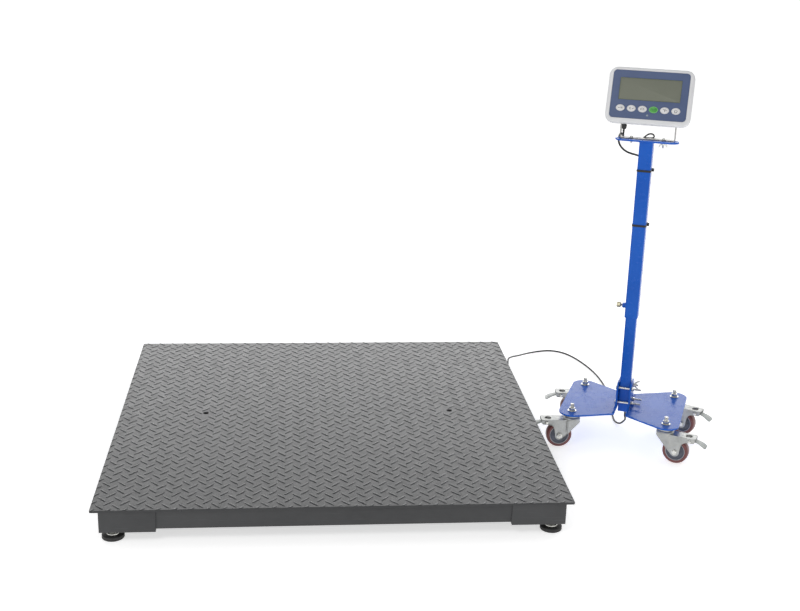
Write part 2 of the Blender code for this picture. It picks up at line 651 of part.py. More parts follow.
def build_indicator(rise):
    tilt = empty("axis_indicator_tilt", rise, (0, BRACKET_Y, PIVOT_Z), (-TILT, 0, 0))

    def rim(inset, y):
        return y_loop(rounded_rect(CASE_W, CASE_H, CASE_R, inset), y)

    bm = add_loft(
        bmesh.new(),
        [rim(0.0060, FRONT_Y), rim(0.0028, FRONT_Y + 0.0012), rim(0.0007, FRONT_Y + 0.0040),
         rim(0.0, FRONT_Y + 0.0075), rim(0.0, SPLIT_Y)],
    )
    front = finish_mesh("front_case", bm, "off_white_abs", tilt)
    cut = add_prism(
        bmesh.new(), rounded_rect(0.1960, 0.1190, 0.004, centre=(0, PANEL_UP), steps=1), (FRONT_Y - 0.01, -0.020), "y"
    )
    boolean(front, "DIFFERENCE", cut, "opening")
    cut = add_prism(
        bmesh.new(),
        rounded_rect(PANEL_W + 2 * GAP, PANEL_H + 2 * GAP, PANEL_R, centre=(0, PANEL_UP)),
        (FRONT_Y - 0.01, FRONT_Y + 0.0025), "y",
    )
    boolean(front, "DIFFERENCE", cut, "panel_recess")
    cut = add_prism(
        bmesh.new(), rounded_rect(0.2290, 0.1500, 0.020, steps=2), (FRONT_Y + 0.0055, -0.020), "y"
    )
    boolean(front, "DIFFERENCE", cut, "inside")

    bm = add_loft(bmesh.new(), [rim(0.0, SPLIT_Y + GAP), rim(0.0010, BACK_Y - 0.0060), rim(0.0060, BACK_Y)])
    rear = finish_mesh("rear_case", bm, "off_white_abs", tilt)

    def hump(inset, y):
        return y_loop(rounded_rect(HUMP_W, HUMP_H, HUMP_R, inset, steps=2), y)

    bm = add_loft(bmesh.new(), [hump(0, BACK_Y - 0.003), hump(0, HUMP_Y - 0.004), hump(0.003, HUMP_Y)])
    boolean(rear, "UNION", bm, "hump")
    cut = add_prism(bmesh.new(), rounded_rect(0.2270, 0.1480, 0.018, steps=2), (-0.050, BACK_Y - 0.0030), "y")
    boolean(rear, "DIFFERENCE", cut, "inside")
    cut = add_prism(bmesh.new(), rounded_rect(0.1440, 0.1040, 0.006, steps=1), (-0.030, HUMP_Y - 0.0030), "y")
    boolean(rear, "DIFFERENCE", cut, "hump_inside")
    cut = add_cylinder(bmesh.new(), 0.0034, (-0.10, 0.10), (0, 0), "x", 12)
    add_cylinder(cut, 0.0052, (-0.090, -0.070), (GLAND_X, GLAND_Y), "z", 12)
    boolean(rear, "DIFFERENCE", cut, "pivot_and_gland_holes")

    bm = add_prism(
        bmesh.new(), rounded_rect(PANEL_W, PANEL_H, PANEL_R - GAP, centre=(0, PANEL_UP)),
        (FRONT_Y + 0.0002, FRONT_Y + 0.0022), "y",
    )
    panel = finish_mesh("front_panel", bm, "panel_blue", tilt)
    cut = add_prism(
        bmesh.new(),
        rounded_rect(WINDOW_W + 2 * GAP, WINDOW_H + 2 * GAP, 0.0015, centre=(0, WINDOW_UP), steps=1),
        (FRONT_Y - 0.01, FRONT_Y + 0.01), "y",
    )
    keys = [((i - 2.5) * KEY_PITCH, KEY_UP) for i in range(6)]
    for x, z in keys:
        add_prism(
            cut,
            [(x + (KEY_A + GAP) * math.cos(a), z + (KEY_B + GAP) * math.sin(a))
             for a in (2 * math.pi * i / 16 for i in range(16))],
            (FRONT_Y - 0.01, FRONT_Y + 0.01), "y",
        )
    boolean(panel, "DIFFERENCE", cut, "cutouts")

    bm = add_prism(
        bmesh.new(), rounded_rect(WINDOW_W, WINDOW_H, 0.0012, centre=(0, WINDOW_UP), steps=1),
        (FRONT_Y + 0.0007, FRONT_Y + 0.0060), "y",
    )
    finish_mesh("display_window", bm, "display_olive", tilt)

    for i, (x, z) in enumerate(keys, 1):
        seat = empty(f"axis_key_{i}", tilt, (x, 0, z))
        rows = []
        for scale, y in ((0.86, FRONT_Y - 0.0018), (1.0, FRONT_Y - 0.0008), (1.0, FRONT_Y + 0.0040)):
            rows.append(
                [(KEY_A * scale * math.cos(a), y, KEY_B * scale * math.sin(a))
                 for a in (2 * math.pi * k / 16 for k in range(16))]
            )
        finish_mesh(f"key_{i}", add_loft(bmesh.new(), rows), "key_green" if i == 4 else "key_white", seat)

    bm = add_box(bmesh.new(), (-0.0880, 0.0880), (-0.0385, -0.0369), (-0.0520, 0.0520))
    finish_mesh("circuit_board", bm, "board_green", tilt, smooth=False)
    bm = add_box(bmesh.new(), (-0.0450, 0.0450), (-0.0130, 0.0110), (-0.0450, 0.0020))
    finish_mesh("battery_pack", bm, "black_plastic", tilt, smooth=False)

    for name, side in (("tilt_knob_left", -1), ("tilt_knob_right", 1)):
        seat = empty(f"axis_{name}", tilt)
        profile = [(0, 0.0700), (0.0030, 0.0700), (0.0030, 0.0778), (0.0110, 0.0778), (0.0140, 0.0800),
                   (0.0140, 0.0910), (0.0120, 0.0935), (0, 0.0935)]
        knob_matrix = Matrix.Rotation(side * math.pi / 2, 4, "Y")
        finish_mesh(name, add_turned(bmesh.new(), profile, 14, knob_matrix), "black_plastic", seat)

    low = -CASE_H / 2 + 0.0010
    profile = (
        (0, low + 0.0060), (0.0048, low + 0.0060), (0.0048, low - 0.0013), (0.0078, low - 0.0013),
        (0.0078, low - 0.0062), (0.0068, low - 0.0068), (0.0064, low - 0.0120), (0.0048, low - 0.0145),
        (0, low - 0.0145),
    )
    finish_mesh(
        "indicator_cable_gland", add_turned(bmesh.new(), profile, 12), "black_plastic", tilt, (GLAND_X, GLAND_Y, 0)
    )
    return tilt


# ---------------------------------------------------------------- cord: platform gland, floor, up the column, indicator
FLOOR_Z = CORD_R + 0.0003


def build_cord(root, stand, rise):
    gland = Vector(PLATFORM_GLAND) + Vector((0.0190 + GAP, 0, 0))
    turn = Matrix.Translation((STAND_X, STAND_Y, 0)) @ Matrix.Rotation(STAND_YAW, 4, "Z")
    back = UPPER_TUBE / 2 + GAP + CORD_R
    foot_of_riser = [turn @ Vector((0.0020, 0.0300, z)) for z in (0.0620, 0.0760, 0.0900)]
    floor = [
        gland, gland + Vector((0.0110, 0.0050, -0.0003)), (0.6260, 0.4830, 0.0540), (0.6310, 0.5120, 0.0538),
        (0.6390, 0.5430, 0.0520), (0.6560, 0.5740, 0.0460), (0.6900, 0.6280, 0.0310), (0.7240, 0.6840, 0.0160),
        (0.7570, 0.7230, 0.0070), (0.7910, 0.7460, FLOOR_Z), (0.8230, 0.7510, FLOOR_Z), (0.8520, 0.7430, FLOOR_Z),
        (0.8780, 0.7200, FLOOR_Z), (0.9000, 0.6800, FLOOR_Z), (0.9180, 0.6280, FLOOR_Z), (0.9330, 0.5660, FLOOR_Z),
        (0.9430, 0.4900, FLOOR_Z), (0.9445, 0.4000, FLOOR_Z), (0.9370, 0.3100, FLOOR_Z), (0.9230, 0.2250, FLOOR_Z),
        (0.9080, 0.1500, FLOOR_Z), (0.9040, 0.1020, FLOOR_Z + 0.0005), (0.9110, 0.0740, 0.0090),
        (0.9180, 0.0560, 0.0250), (0.9150, 0.0330, 0.0430), *foot_of_riser,
    ]
    cord("cord_floor", floor, 72, root, (0.0030, 0, 0), (0, 0, 0.0030))
    riser = [
        (0.0020, 0.0300, 0.0905), (0.0020, 0.0300, 0.1060), (0.0010, 0.0298, 0.1300), (0, 0.0292, 0.1700), (0, 0.0275, 0.2400),
        (0, 0.0250, 0.3200), (0, back + 0.0008, 0.4000), (0, back + GAP, 0.5000), (0, back + GAP, 0.5800),
        (0, back + GAP, TIE_Z[0] - 0.0080),
    ]
    cord("cord_riser", riser, 34, stand, (0, 0, 0.0030), (0, 0, 0.0030))
    lead_end = Vector((GLAND_X, GLAND_Y, -CASE_H / 2 + 0.0010 - 0.0145 - GAP))
    tip = Matrix.Translation((0, BRACKET_Y, PIVOT_Z)) @ Matrix.Rotation(-TILT, 4, "X")
    down = (tip.to_3x3() @ Vector((0, 0, -1))).normalized()
    end = tip @ lead_end
    upper = [
        (0, back + GAP, TIE_Z[0] - 0.0077), (0, back + GAP, 0.7400), (0, back + GAP, 0.8000),
        (0, back + GAP, 0.8320), (-0.0035, 0.0235, 0.8480), (-0.0130, 0.0262, 0.8595), (-0.0260, 0.0285, 0.8650),
        (-0.0420, 0.0300, 0.8680), (-0.0580, 0.0310, 0.8725), (-0.0720, 0.0320, 0.8810), (-0.0815, 0.0320, 0.8920),
        (-0.0855, 0.0315, 0.9060), (-0.0835, 0.0295, 0.9190), (-0.0770, 0.0250, 0.9270), (-0.0690, 0.0170, 0.9310),
        end + down * 0.0080 + Vector((-0.0010, 0, 0)), end,
    ]
    cord("cord_upper", upper, 30, rise, (0, 0, 0.0030), -0.0030 * down)


clear_scene()
MATERIALS = make_finishes()
ROOT = empty("scale_origin", None, (-FRAME_X, 0, 0))
build_platform(ROOT)
STAND, RISE = build_stand(ROOT)
build_indicator(RISE)
build_cord(ROOT, STAND, RISE)
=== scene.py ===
"""Looks of the platform shipping scale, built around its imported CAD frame.

Metres, +Z up, the floor is Z = 0. The platform's centre is at X = -0.28, and the rolling stand is at the right.
"""

import math

import bmesh
import bpy
from mathutils import Matrix, Vector


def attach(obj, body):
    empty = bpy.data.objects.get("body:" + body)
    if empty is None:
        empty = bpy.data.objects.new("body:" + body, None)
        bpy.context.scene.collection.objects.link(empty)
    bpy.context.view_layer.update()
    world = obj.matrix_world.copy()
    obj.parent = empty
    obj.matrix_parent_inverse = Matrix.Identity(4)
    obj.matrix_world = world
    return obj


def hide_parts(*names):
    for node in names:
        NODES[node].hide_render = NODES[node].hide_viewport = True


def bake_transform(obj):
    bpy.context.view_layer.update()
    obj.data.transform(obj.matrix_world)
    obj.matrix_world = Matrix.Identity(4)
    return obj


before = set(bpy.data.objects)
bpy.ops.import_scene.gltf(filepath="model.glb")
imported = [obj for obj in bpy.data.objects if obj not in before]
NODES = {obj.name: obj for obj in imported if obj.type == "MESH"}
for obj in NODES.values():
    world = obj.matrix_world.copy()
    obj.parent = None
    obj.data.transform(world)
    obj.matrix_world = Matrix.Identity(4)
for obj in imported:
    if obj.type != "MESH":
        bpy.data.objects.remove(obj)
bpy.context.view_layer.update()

# ---------------------------------------------------------------- places shared with the CAD frame
GAP = 0.0003
PLATFORM = Matrix.Translation((-0.28, 0, 0))
STAND_YAW = math.radians(-23.0)
STAND = Matrix.Translation((0.613, -0.013, 0)) @ Matrix.Rotation(STAND_YAW, 4, "Z")
TILT = math.radians(18.0)
CASE = STAND @ Matrix.Translation((0, 0.006, 1.030)) @ Matrix.Rotation(-TILT, 4, "X")
STEM_X, STEM_Y = 0.1380, 0.1130
CASTERS = {
    "fl": (-1, -1, math.radians(178.0)),
    "bl": (-1, 1, math.radians(175.0)),
    "fr": (1, -1, math.radians(-31.0)),
    "br": (1, 1, math.radians(-38.0)),
}
CORD_R = 0.00275
FLOOR_Z = CORD_R + 0.0003
ALONG_X = Matrix.Rotation(math.pi / 2, 4, "Y")
ALONG_Y = Matrix.Rotation(-math.pi / 2, 4, "X")


def swivel(tag):
    sx, sy, heading = CASTERS[tag]
    return STAND @ Matrix.Translation((sx * STEM_X, sy * STEM_Y, 0)) @ Matrix.Rotation(heading - STAND_YAW, 4, "Z")


# ---------------------------------------------------------------- camera and light
def make_camera():
    yaw, pitch, roll = math.radians(5.46), math.radians(17.93), math.radians(1.52)
    ahead = Vector((math.sin(yaw) * math.cos(pitch), math.cos(yaw) * math.cos(pitch), -math.sin(pitch)))
    right = Vector((math.cos(yaw), -math.sin(yaw), 0))
    up = right.cross(ahead)
    right_r = right * math.cos(roll) + up * math.sin(roll)
    up_r = up * math.cos(roll) - right * math.sin(roll)
    data = bpy.data.cameras.new("camera")
    data.sensor_width = 36.0
    data.lens = 54.99
    data.clip_start, data.clip_end = 0.05, 100
    camera = bpy.data.objects.new("camera", data)
    camera.matrix_world = Matrix(
        (
            (right_r.x, up_r.x, -ahead.x, -0.397),
            (right_r.y, up_r.y, -ahead.y, -3.369),
            (right_r.z, up_r.z, -ahead.z, 1.517),
            (0, 0, 0, 1),
        )
    )
    bpy.context.scene.collection.objects.link(camera)
    bpy.context.scene.camera = camera


def softbox(name, place, aim, size, power):
    data = bpy.data.lights.new(name, "AREA")
    data.shape = "RECTANGLE"
    data.size, data.size_y = size
    data.energy = power
    light = bpy.data.objects.new(name, data)
    light.location = place
    light.rotation_mode = "QUATERNION"
    light.rotation_quaternion = (Vector(aim) - Vector(place)).to_track_quat("-Z", "Y")
    bpy.context.scene.collection.objects.link(light)


def make_light():
    scene = bpy.context.scene
    scene.view_settings.view_transform = "Standard"
    world = bpy.data.worlds.new("studio")
    scene.world = world
    world.use_nodes = True
    tree = world.node_tree
    tree.nodes.clear()
    out = tree.nodes.new("ShaderNodeOutputWorld")
    sky = tree.nodes.new("ShaderNodeBackground")
    tree.links.new(sky.outputs[0], out.inputs[0])
    coords = tree.nodes.new("ShaderNodeTexCoord")
    split = tree.nodes.new("ShaderNodeSeparateXYZ")
    tree.links.new(coords.outputs["Generated"], split.inputs[0])

    def by_height(stops):
        ramp = tree.nodes.new("ShaderNodeValToRGB")
        tree.links.new(split.outputs["Z"], ramp.inputs[0])
        ends = ramp.color_ramp.elements
        ends[0].position, ends[0].color = 0.0, (stops[0][1],) * 3 + (1,)
        ends[1].position, ends[1].color = 1.0, (stops[-1][1],) * 3 + (1,)
        for place, grey in stops[1:-1]:
            ends.new(place).color = (grey, grey, grey, 1)
        return ramp.outputs[0]

    # A soft room: brighter near the horizon than overhead, with a bright backdrop on the +Y side.
    room = by_height(((0.0, 1.0), (0.12, 0.92), (0.30, 0.74), (0.50, 0.36), (1.0, 0.27)))
    backdrop = by_height(((0.0, 0.0), (0.14, 0.10), (0.26, 1.0), (0.36, 0.80), (0.44, 0.30), (0.54, 0.0), (1.0, 0.0)))
    behind = tree.nodes.new("ShaderNodeMapRange")
    behind.interpolation_type = "SMOOTHSTEP"
    behind.inputs["From Min"].default_value, behind.inputs["From Max"].default_value = 0.66, 0.92
    tree.links.new(split.outputs["Y"], behind.inputs["Value"])
    part = tree.nodes.new("ShaderNodeMath")
    part.operation = "MULTIPLY"
    tree.links.new(backdrop, part.inputs[0])
    tree.links.new(behind.outputs[0], part.inputs[1])
    whole = tree.nodes.new("ShaderNodeMath")
    whole.operation = "MULTIPLY_ADD"
    tree.links.new(part.outputs[0], whole.inputs[0])
    whole.inputs[1].default_value = 3.4
    tree.links.new(room, whole.inputs[2])
    tree.links.new(whole.outputs[0], sky.inputs["Color"])
    sky.inputs["Strength"].default_value = 1.0
    softbox("key", (-2.2, -2.6, 3.4), (0, 0, 0.2), (1.6, 1.6), 34)
    softbox("top", (0.4, 0.6, 3.6), (0.1, 0.1, 0), (2.6, 1.6), 14)
    softbox("rim", (2.9, 1.6, 2.2), (0.5, 0, 0.5), (1.2, 2.0), 16)


make_camera()
make_light()


# ---------------------------------------------------------------- materials
class Finish:
    """A procedural finish: object coordinates, so it stays with its piece at every pose."""

    def __init__(self, name, rough=0.5, metal=0.0, **sockets):
        self.mat = bpy.data.materials.new(name)
        self.mat.use_nodes = True
        self.tree = self.mat.node_tree
        self.tree.nodes.clear()
        self.out = self.node("ShaderNodeOutputMaterial")
        self.shader = self.node("ShaderNodeBsdfPrincipled")
        self.link(self.shader.outputs[0], self.out.inputs[0])
        self.shader.inputs["Roughness"].default_value = rough
        self.shader.inputs["Metallic"].default_value = metal
        for key, value in sockets.items():
            self.shader.inputs[key.replace("_", " ")].default_value = value
        self.coords = self.node("ShaderNodeTexCoord").outputs["Object"]
        self.rough = rough
        self.normal = None

    def node(self, kind, **values):
        made = self.tree.nodes.new(kind)
        for key, value in values.items():
            setattr(made, key, value)
        return made

    def link(self, a, b):
        self.tree.links.new(a, b)

    def stretched(self, scale):
        mapping = self.node("ShaderNodeMapping")
        mapping.inputs["Scale"].default_value = scale
        self.link(self.coords, mapping.inputs["Vector"])
        return mapping.outputs[0]

    def noise(self, scale, detail=3.0, stretch=None, rough=0.55, distortion=0.0):
        tex = self.node("ShaderNodeTexNoise")
        tex.inputs["Scale"].default_value = scale
        tex.inputs["Detail"].default_value = detail
        tex.inputs["Roughness"].default_value = rough
        tex.inputs["Distortion"].default_value = distortion
        self.link(self.stretched(stretch) if stretch else self.coords, tex.inputs["Vector"])
        return tex.outputs["Fac"]

    def spots(self, scale, feature="F1", stretch=None):
        tex = self.node("ShaderNodeTexVoronoi", feature=feature)
        tex.inputs["Scale"].default_value = scale
        self.link(self.stretched(stretch) if stretch else self.coords, tex.inputs["Vector"])
        return tex

    def spread(self, value, low, high, to_low=0.0, to_high=1.0):
        made = self.node("ShaderNodeMapRange")
        made.inputs["From Min"].default_value = low
        made.inputs["From Max"].default_value = high
        made.inputs["To Min"].default_value = to_low
        made.inputs["To Max"].default_value = to_high
        self.link(value, made.inputs["Value"])
        return made.outputs[0]

    def math(self, op, a, b):
        made = self.node("ShaderNodeMath", operation=op)
        for i, value in enumerate((a, b)):
            if isinstance(value, (int, float)):
                made.inputs[i].default_value = value
            else:
                self.link(value, made.inputs[i])
        return made.outputs[0]

    def height(self, axis="Z"):
        split = self.node("ShaderNodeSeparateXYZ")
        self.link(self.coords, split.inputs[0])
        return split.outputs[axis]

    def mix(self, factor, a, b):
        made = self.node("ShaderNodeMix", data_type="RGBA")
        sockets = [s for s in made.inputs if s.type == "RGBA"]
        factor_in = [s for s in made.inputs if s.type == "VALUE"][0]
        if isinstance(factor, (int, float)):
            factor_in.default_value = factor
        else:
            self.link(factor, factor_in)
        for socket, value in zip(sockets, (a, b)):
            if isinstance(value, tuple):
                socket.default_value = (*value, 1.0)
            else:
                self.link(value, socket)
        return [s for s in made.outputs if s.type == "RGBA"][0]

    def colour(self, value):
        if isinstance(value, tuple):
            self.shader.inputs["Base Color"].default_value = (*value, 1.0)
        else:
            self.link(value, self.shader.inputs["Base Color"])

    def roughness(self, value):
        self.link(value, self.shader.inputs["Roughness"])

    def bump(self, value, depth, strength=1.0):
        made = self.node("ShaderNodeBump")
        made.inputs["Strength"].default_value = strength
        made.inputs["Distance"].default_value = depth
        self.link(value, made.inputs["Height"])
        if self.normal:
            self.link(self.normal, made.inputs["Normal"])
        self.normal = made.outputs[0]
        self.link(self.normal, self.shader.inputs["Normal"])


def two_tone(name, light, dark, rough, metal=0.0, cloud=6.0, grain=900.0, grain_depth=0.00006, rough_swing=0.06,
             speckle=None, **sockets):
    """A finish with a slow cloudy change of tone, a fine surface grain and uneven gloss."""
    f = Finish(name, rough, metal, **sockets)
    shade = f.mix(f.spread(f.noise(cloud, 5.0), 0.35, 0.65), dark, light)
    if speckle:
        tint, scale, amount = speckle
        fleck = f.spread(f.noise(scale, 2.0), 0.60, 0.72, 0.0, amount)
        shade = f.mix(fleck, shade, tint)
    f.colour(shade)
    f.roughness(f.spread(f.noise(cloud * 9, 4.0), 0.3, 0.7, rough - rough_swing, rough + rough_swing))
    f.bump(f.noise(grain, 2.0), grain_depth)
    return f


def make_materials():
    m = {}
    # Charcoal powder coat on the tread plate, with pale flecks: the lug tops are painted lighter, a painted highlight
    # mixed with wear.
    f = Finish("deck_coat", 0.46, 0.0, Specular_IOR_Level=0.46)
    cloud = f.mix(f.spread(f.noise(3.2, 6.0), 0.35, 0.65), (0.024, 0.025, 0.027), (0.032, 0.033, 0.035))
    fleck = f.spread(f.noise(620.0, 2.0), 0.62, 0.74, 0.0, 0.35)
    cloud = f.mix(fleck, cloud, (0.100, 0.101, 0.104))
    # Lug tops: a painted highlight, broken up by noise, with real polish that also lowers the roughness there.
    lug = f.spread(f.height("Z"), 0.09045, 0.09100)
    lug_wear_and_highlight = f.math("MULTIPLY", lug, f.spread(f.noise(55.0, 4.0), 0.38, 0.62, 0.35, 1.0))
    f.colour(f.mix(lug_wear_and_highlight, cloud, (0.075, 0.077, 0.080)))
    base = f.spread(f.noise(34.0, 4.0), 0.3, 0.7, 0.27, 0.38)
    f.roughness(f.math("SUBTRACT", base, f.math("MULTIPLY", lug_wear_and_highlight, 0.10)))
    f.bump(f.noise(1400.0, 2.0), 0.00009)
    f.bump(f.noise(260.0, 3.0), 0.00010)
    m["deck"] = f.mat
    # Charcoal powder coat on the channels and rails, with scuffs that run along them.
    f = Finish("frame_coat", 0.50, 0.0, Specular_IOR_Level=0.5)
    cloud = f.mix(f.spread(f.noise(4.0, 5.0), 0.35, 0.65), (0.034, 0.035, 0.037), (0.043, 0.044, 0.046))
    scrape = f.spread(f.noise(30.0, 5.0, (0.25, 1.0, 9.0)), 0.62, 0.72, 0.0, 0.30)
    f.colour(f.mix(scrape, cloud, (0.105, 0.107, 0.112)))
    f.roughness(f.spread(f.noise(40.0, 4.0), 0.3, 0.7, 0.44, 0.58))
    f.bump(f.noise(1100.0, 2.0), 0.00010)
    m["frame"] = f.mat
    # Glossy blue powder coat with orange peel.
    f = Finish("blue_coat", 0.24, 0.0, Specular_IOR_Level=0.21)
    cloud = f.mix(f.spread(f.noise(9.0, 5.0), 0.35, 0.65), (0.005, 0.094, 0.490), (0.009, 0.112, 0.545))
    dust = f.spread(f.noise(420.0, 2.0), 0.66, 0.76, 0.0, 0.10)
    f.colour(f.mix(dust, cloud, (0.20, 0.30, 0.60)))
    f.roughness(f.spread(f.noise(60.0, 4.0), 0.3, 0.7, 0.18, 0.31))
    f.bump(f.noise(480.0, 2.0), 0.00007)
    m["blue"] = f.mat
    # Zinc-plated pressings: a faint spangle under a milky passivation.
    f = Finish("zinc_pressing", 0.36, 0.85)
    grain = f.spots(160.0)
    cloud = f.mix(f.spread(f.noise(24.0, 5.0), 0.35, 0.65), (0.31, 0.314, 0.305), (0.44, 0.442, 0.425))
    f.colour(f.mix(f.spread(grain.outputs["Distance"], 0.0, 0.7, 0.0, 0.25), cloud, (0.52, 0.55, 0.56)))
    f.roughness(f.spread(f.noise(90.0, 4.0), 0.3, 0.7, 0.28, 0.46))
    f.bump(f.noise(700.0, 2.0, (1.0, 1.0, 0.25)), 0.00004)
    m["zinc"] = f.mat
    # Bright plated fasteners, with turning marks.
    f = Finish("bright_plate", 0.24, 1.0)
    f.colour(f.mix(f.spread(f.noise(140.0, 4.0), 0.35, 0.65), (0.60, 0.60, 0.57), (0.78, 0.78, 0.74)))
    f.roughness(f.spread(f.noise(300.0, 4.0), 0.3, 0.7, 0.16, 0.34))
    f.bump(f.noise(1500.0, 2.0, (1.0, 1.0, 3.0)), 0.00003)
    m["bright"] = f.mat
    # Yellow-passivated clamp screw.
    f = Finish("brass_plate", 0.30, 1.0)
    f.colour(f.mix(f.spread(f.noise(160.0, 4.0), 0.35, 0.65), (0.52, 0.47, 0.32), (0.72, 0.68, 0.50)))
    f.roughness(f.spread(f.noise(300.0, 4.0), 0.3, 0.7, 0.22, 0.40))
    f.bump(f.noise(1500.0, 2.0), 0.00003)
    m["brass"] = f.mat
    # Brushed stainless, its grain along the stand's x.
    f = Finish("brushed_steel", 0.33, 1.0)
    brushed = f.noise(60.0, 5.0, (1.0, 14.0, 14.0))
    f.colour(f.mix(f.spread(brushed, 0.35, 0.65), (0.23, 0.228, 0.220), (0.33, 0.326, 0.316)))
    f.roughness(f.spread(brushed, 0.3, 0.7, 0.32, 0.50))
    f.bump(brushed, 0.00004)
    m["steel"] = f.mat
    m["dark_steel"] = two_tone("black_oxide", (0.060, 0.060, 0.062), (0.035, 0.035, 0.037), 0.42, 0.7, 120.0, 1200.0).mat
    m["alloy"] = two_tone("nickel_alloy", (0.58, 0.58, 0.57), (0.47, 0.47, 0.46), 0.34, 1.0, 20.0, 900.0).mat
    m["rubber"] = two_tone("black_rubber", (0.030, 0.029, 0.029), (0.020, 0.020, 0.020), 0.62, 0.0, 40.0, 1300.0,
                           0.00010, 0.08, ((0.075, 0.073, 0.070), 90.0, 0.35)).mat
    m["plastic"] = two_tone("black_nylon", (0.018, 0.018, 0.019), (0.011, 0.011, 0.012), 0.50, 0.0, 60.0, 1600.0,
                            0.00006, 0.08).mat
    m["cable"] = two_tone("cable_jacket", (0.022, 0.022, 0.023), (0.013, 0.013, 0.014), 0.50, 0.0, 25.0, 700.0,
                          0.00005, 0.10, ((0.08, 0.08, 0.08), 60.0, 0.25)).mat
    # Cast polyurethane tyre, slightly translucent, with dust on the tread.
    f = Finish("tyre", 0.36, 0.0, Coat_Weight=0.25, Coat_Roughness=0.25)
    f.colour(f.mix(f.spread(f.noise(70.0, 5.0), 0.35, 0.65), (0.120, 0.028, 0.027), (0.165, 0.042, 0.040)))
    f.roughness(f.spread(f.noise(160.0, 4.0), 0.3, 0.7, 0.28, 0.46))
    f.bump(f.noise(900.0, 2.0), 0.00005)
    m["tyre"] = f.mat
    m["hub"] = two_tone("wheel_hub", (0.105, 0.115, 0.150), (0.080, 0.088, 0.118), 0.38, 0.0, 60.0, 1200.0, 0.00005).mat
    m["hub_lip"] = two_tone("wheel_lip", (0.42, 0.42, 0.44), (0.33, 0.33, 0.36), 0.40, 0.0, 80.0, 1200.0, 0.00004).mat
    m["pedal"] = two_tone("pedal_coat", (0.47, 0.50, 0.48), (0.38, 0.41, 0.395), 0.34, 0.0, 40.0, 900.0, 0.00005,
                          0.08, ((0.26, 0.28, 0.28), 140.0, 0.30), Coat_Weight=0.3).mat
    # Fine spark-eroded texture on the housing.
    f = Finish("housing_abs", 0.42, 0.0)
    f.colour(f.mix(f.spread(f.noise(12.0, 5.0), 0.35, 0.65), (0.700, 0.705, 0.720), (0.745, 0.748, 0.758)))
    f.roughness(f.spread(f.noise(120.0, 4.0), 0.3, 0.7, 0.36, 0.50))
    f.bump(f.noise(1500.0, 3.0), 0.00008)
    m["housing"] = f.mat
    # Printed membrane overlay: fine polyester grain.
    f = Finish("overlay", 0.38, 0.0)
    f.colour(f.mix(f.spread(f.noise(18.0, 5.0), 0.35, 0.65), (0.056, 0.088, 0.190), (0.064, 0.099, 0.208)))
    f.roughness(f.spread(f.noise(700.0, 3.0), 0.3, 0.7, 0.30, 0.46))
    f.bump(f.noise(2200.0, 2.0), 0.00004)
    m["panel"] = f.mat
    # Blank reflective liquid-crystal glass: the cell grid shows faintly below the cover.
    f = Finish("lcd_glass", 0.45, 0.0, Specular_IOR_Level=0.16)
    tone = f.mix(f.spread(f.noise(10.0, 4.0), 0.3, 0.7), (0.185, 0.197, 0.156), (0.200, 0.210, 0.170))
    grid = f.spots(900.0, "DISTANCE_TO_EDGE")
    f.colour(f.mix(f.spread(grid.outputs["Distance"], 0.0, 0.06, 0.18, 0.0), tone, (0.11, 0.12, 0.09)))
    f.roughness(f.spread(f.noise(50.0, 3.0), 0.3, 0.7, 0.42, 0.54))
    m["lcd"] = f.mat
    m["lcd_edge"] = two_tone("lcd_edge", (0.150, 0.170, 0.105), (0.125, 0.142, 0.090), 0.3, 0.0, 80.0, 1200.0).mat
    m["key"] = two_tone("key_white", (0.74, 0.735, 0.735), (0.69, 0.685, 0.69), 0.36, 0.0, 90.0, 1500.0, 0.00004).mat
    m["key_rim"] = two_tone("key_rim", (0.50, 0.50, 0.52), (0.42, 0.42, 0.45), 0.34, 0.0, 90.0, 1500.0, 0.00004).mat
    m["key_green"] = two_tone("key_green", (0.072, 0.380, 0.060), (0.052, 0.310, 0.046), 0.34, 0.0, 90.0, 1500.0,
                              0.00004).mat
    m["green_rim"] = two_tone("green_rim", (0.230, 0.620, 0.200), (0.185, 0.540, 0.165), 0.34, 0.0, 90.0, 1500.0).mat
    m["green_print"] = two_tone("green_print", (0.030, 0.200, 0.035), (0.022, 0.160, 0.028), 0.4, 0.0, 90.0, 1500.0).mat
    m["print"] = two_tone("grey_print", (0.070, 0.060, 0.062), (0.050, 0.043, 0.045), 0.45, 0.0, 200.0, 1500.0).mat
    m["led"] = two_tone("led_lens", (0.30, 0.36, 0.40), (0.24, 0.29, 0.33), 0.15, 0.0, 300.0, 900.0, 0.00002,
                        0.04, Coat_Weight=0.8).mat
    # Solder mask with traces, and the battery's printed sleeve.
    f = Finish("laminate", 0.34, 0.0)
    trace = f.spots(170.0, "DISTANCE_TO_EDGE", (1.0, 1.0, 1.0))
    f.colour(f.mix(f.spread(trace.outputs["Distance"], 0.05, 0.10), (0.030, 0.210, 0.080), (0.012, 0.110, 0.040)))
    f.bump(f.spread(trace.outputs["Distance"], 0.05, 0.10), 0.00004)
    f.roughness(f.spread(f.noise(200.0, 3.0), 0.3, 0.7, 0.28, 0.42))
    m["board"] = f.mat
    m["battery"] = two_tone("battery_shell", (0.040, 0.041, 0.044), (0.028, 0.029, 0.031), 0.46, 0.0, 30.0, 1000.0).mat
    # Floor: plain and pale.
    f = Finish("floor", 0.7, 0.0)
    f.colour(f.mix(f.spread(f.noise(2.0, 3.0), 0.35, 0.65), (0.86, 0.86, 0.86), (0.88, 0.88, 0.88)))
    f.shader.inputs["Emission Color"].default_value = (1, 1, 1, 1)
    f.shader.inputs["Emission Strength"].default_value = 0.60
    m["floor"] = f.mat
    return m


M = make_materials()


# ---------------------------------------------------------------- mesh tools
def loft(bm, loops, caps=True):
    rows = [[bm.verts.new(p) for p in loop] for loop in loops]
    count = len(rows[0])
    for low, high in zip(rows, rows[1:]):
        for i in range(count):
            j = (i + 1) % count
            bm.faces.new((low[i], low[j], high[j], high[i]))
    if caps:
        bm.faces.new(rows[0])
        bm.faces.new(rows[-1])
    return bm


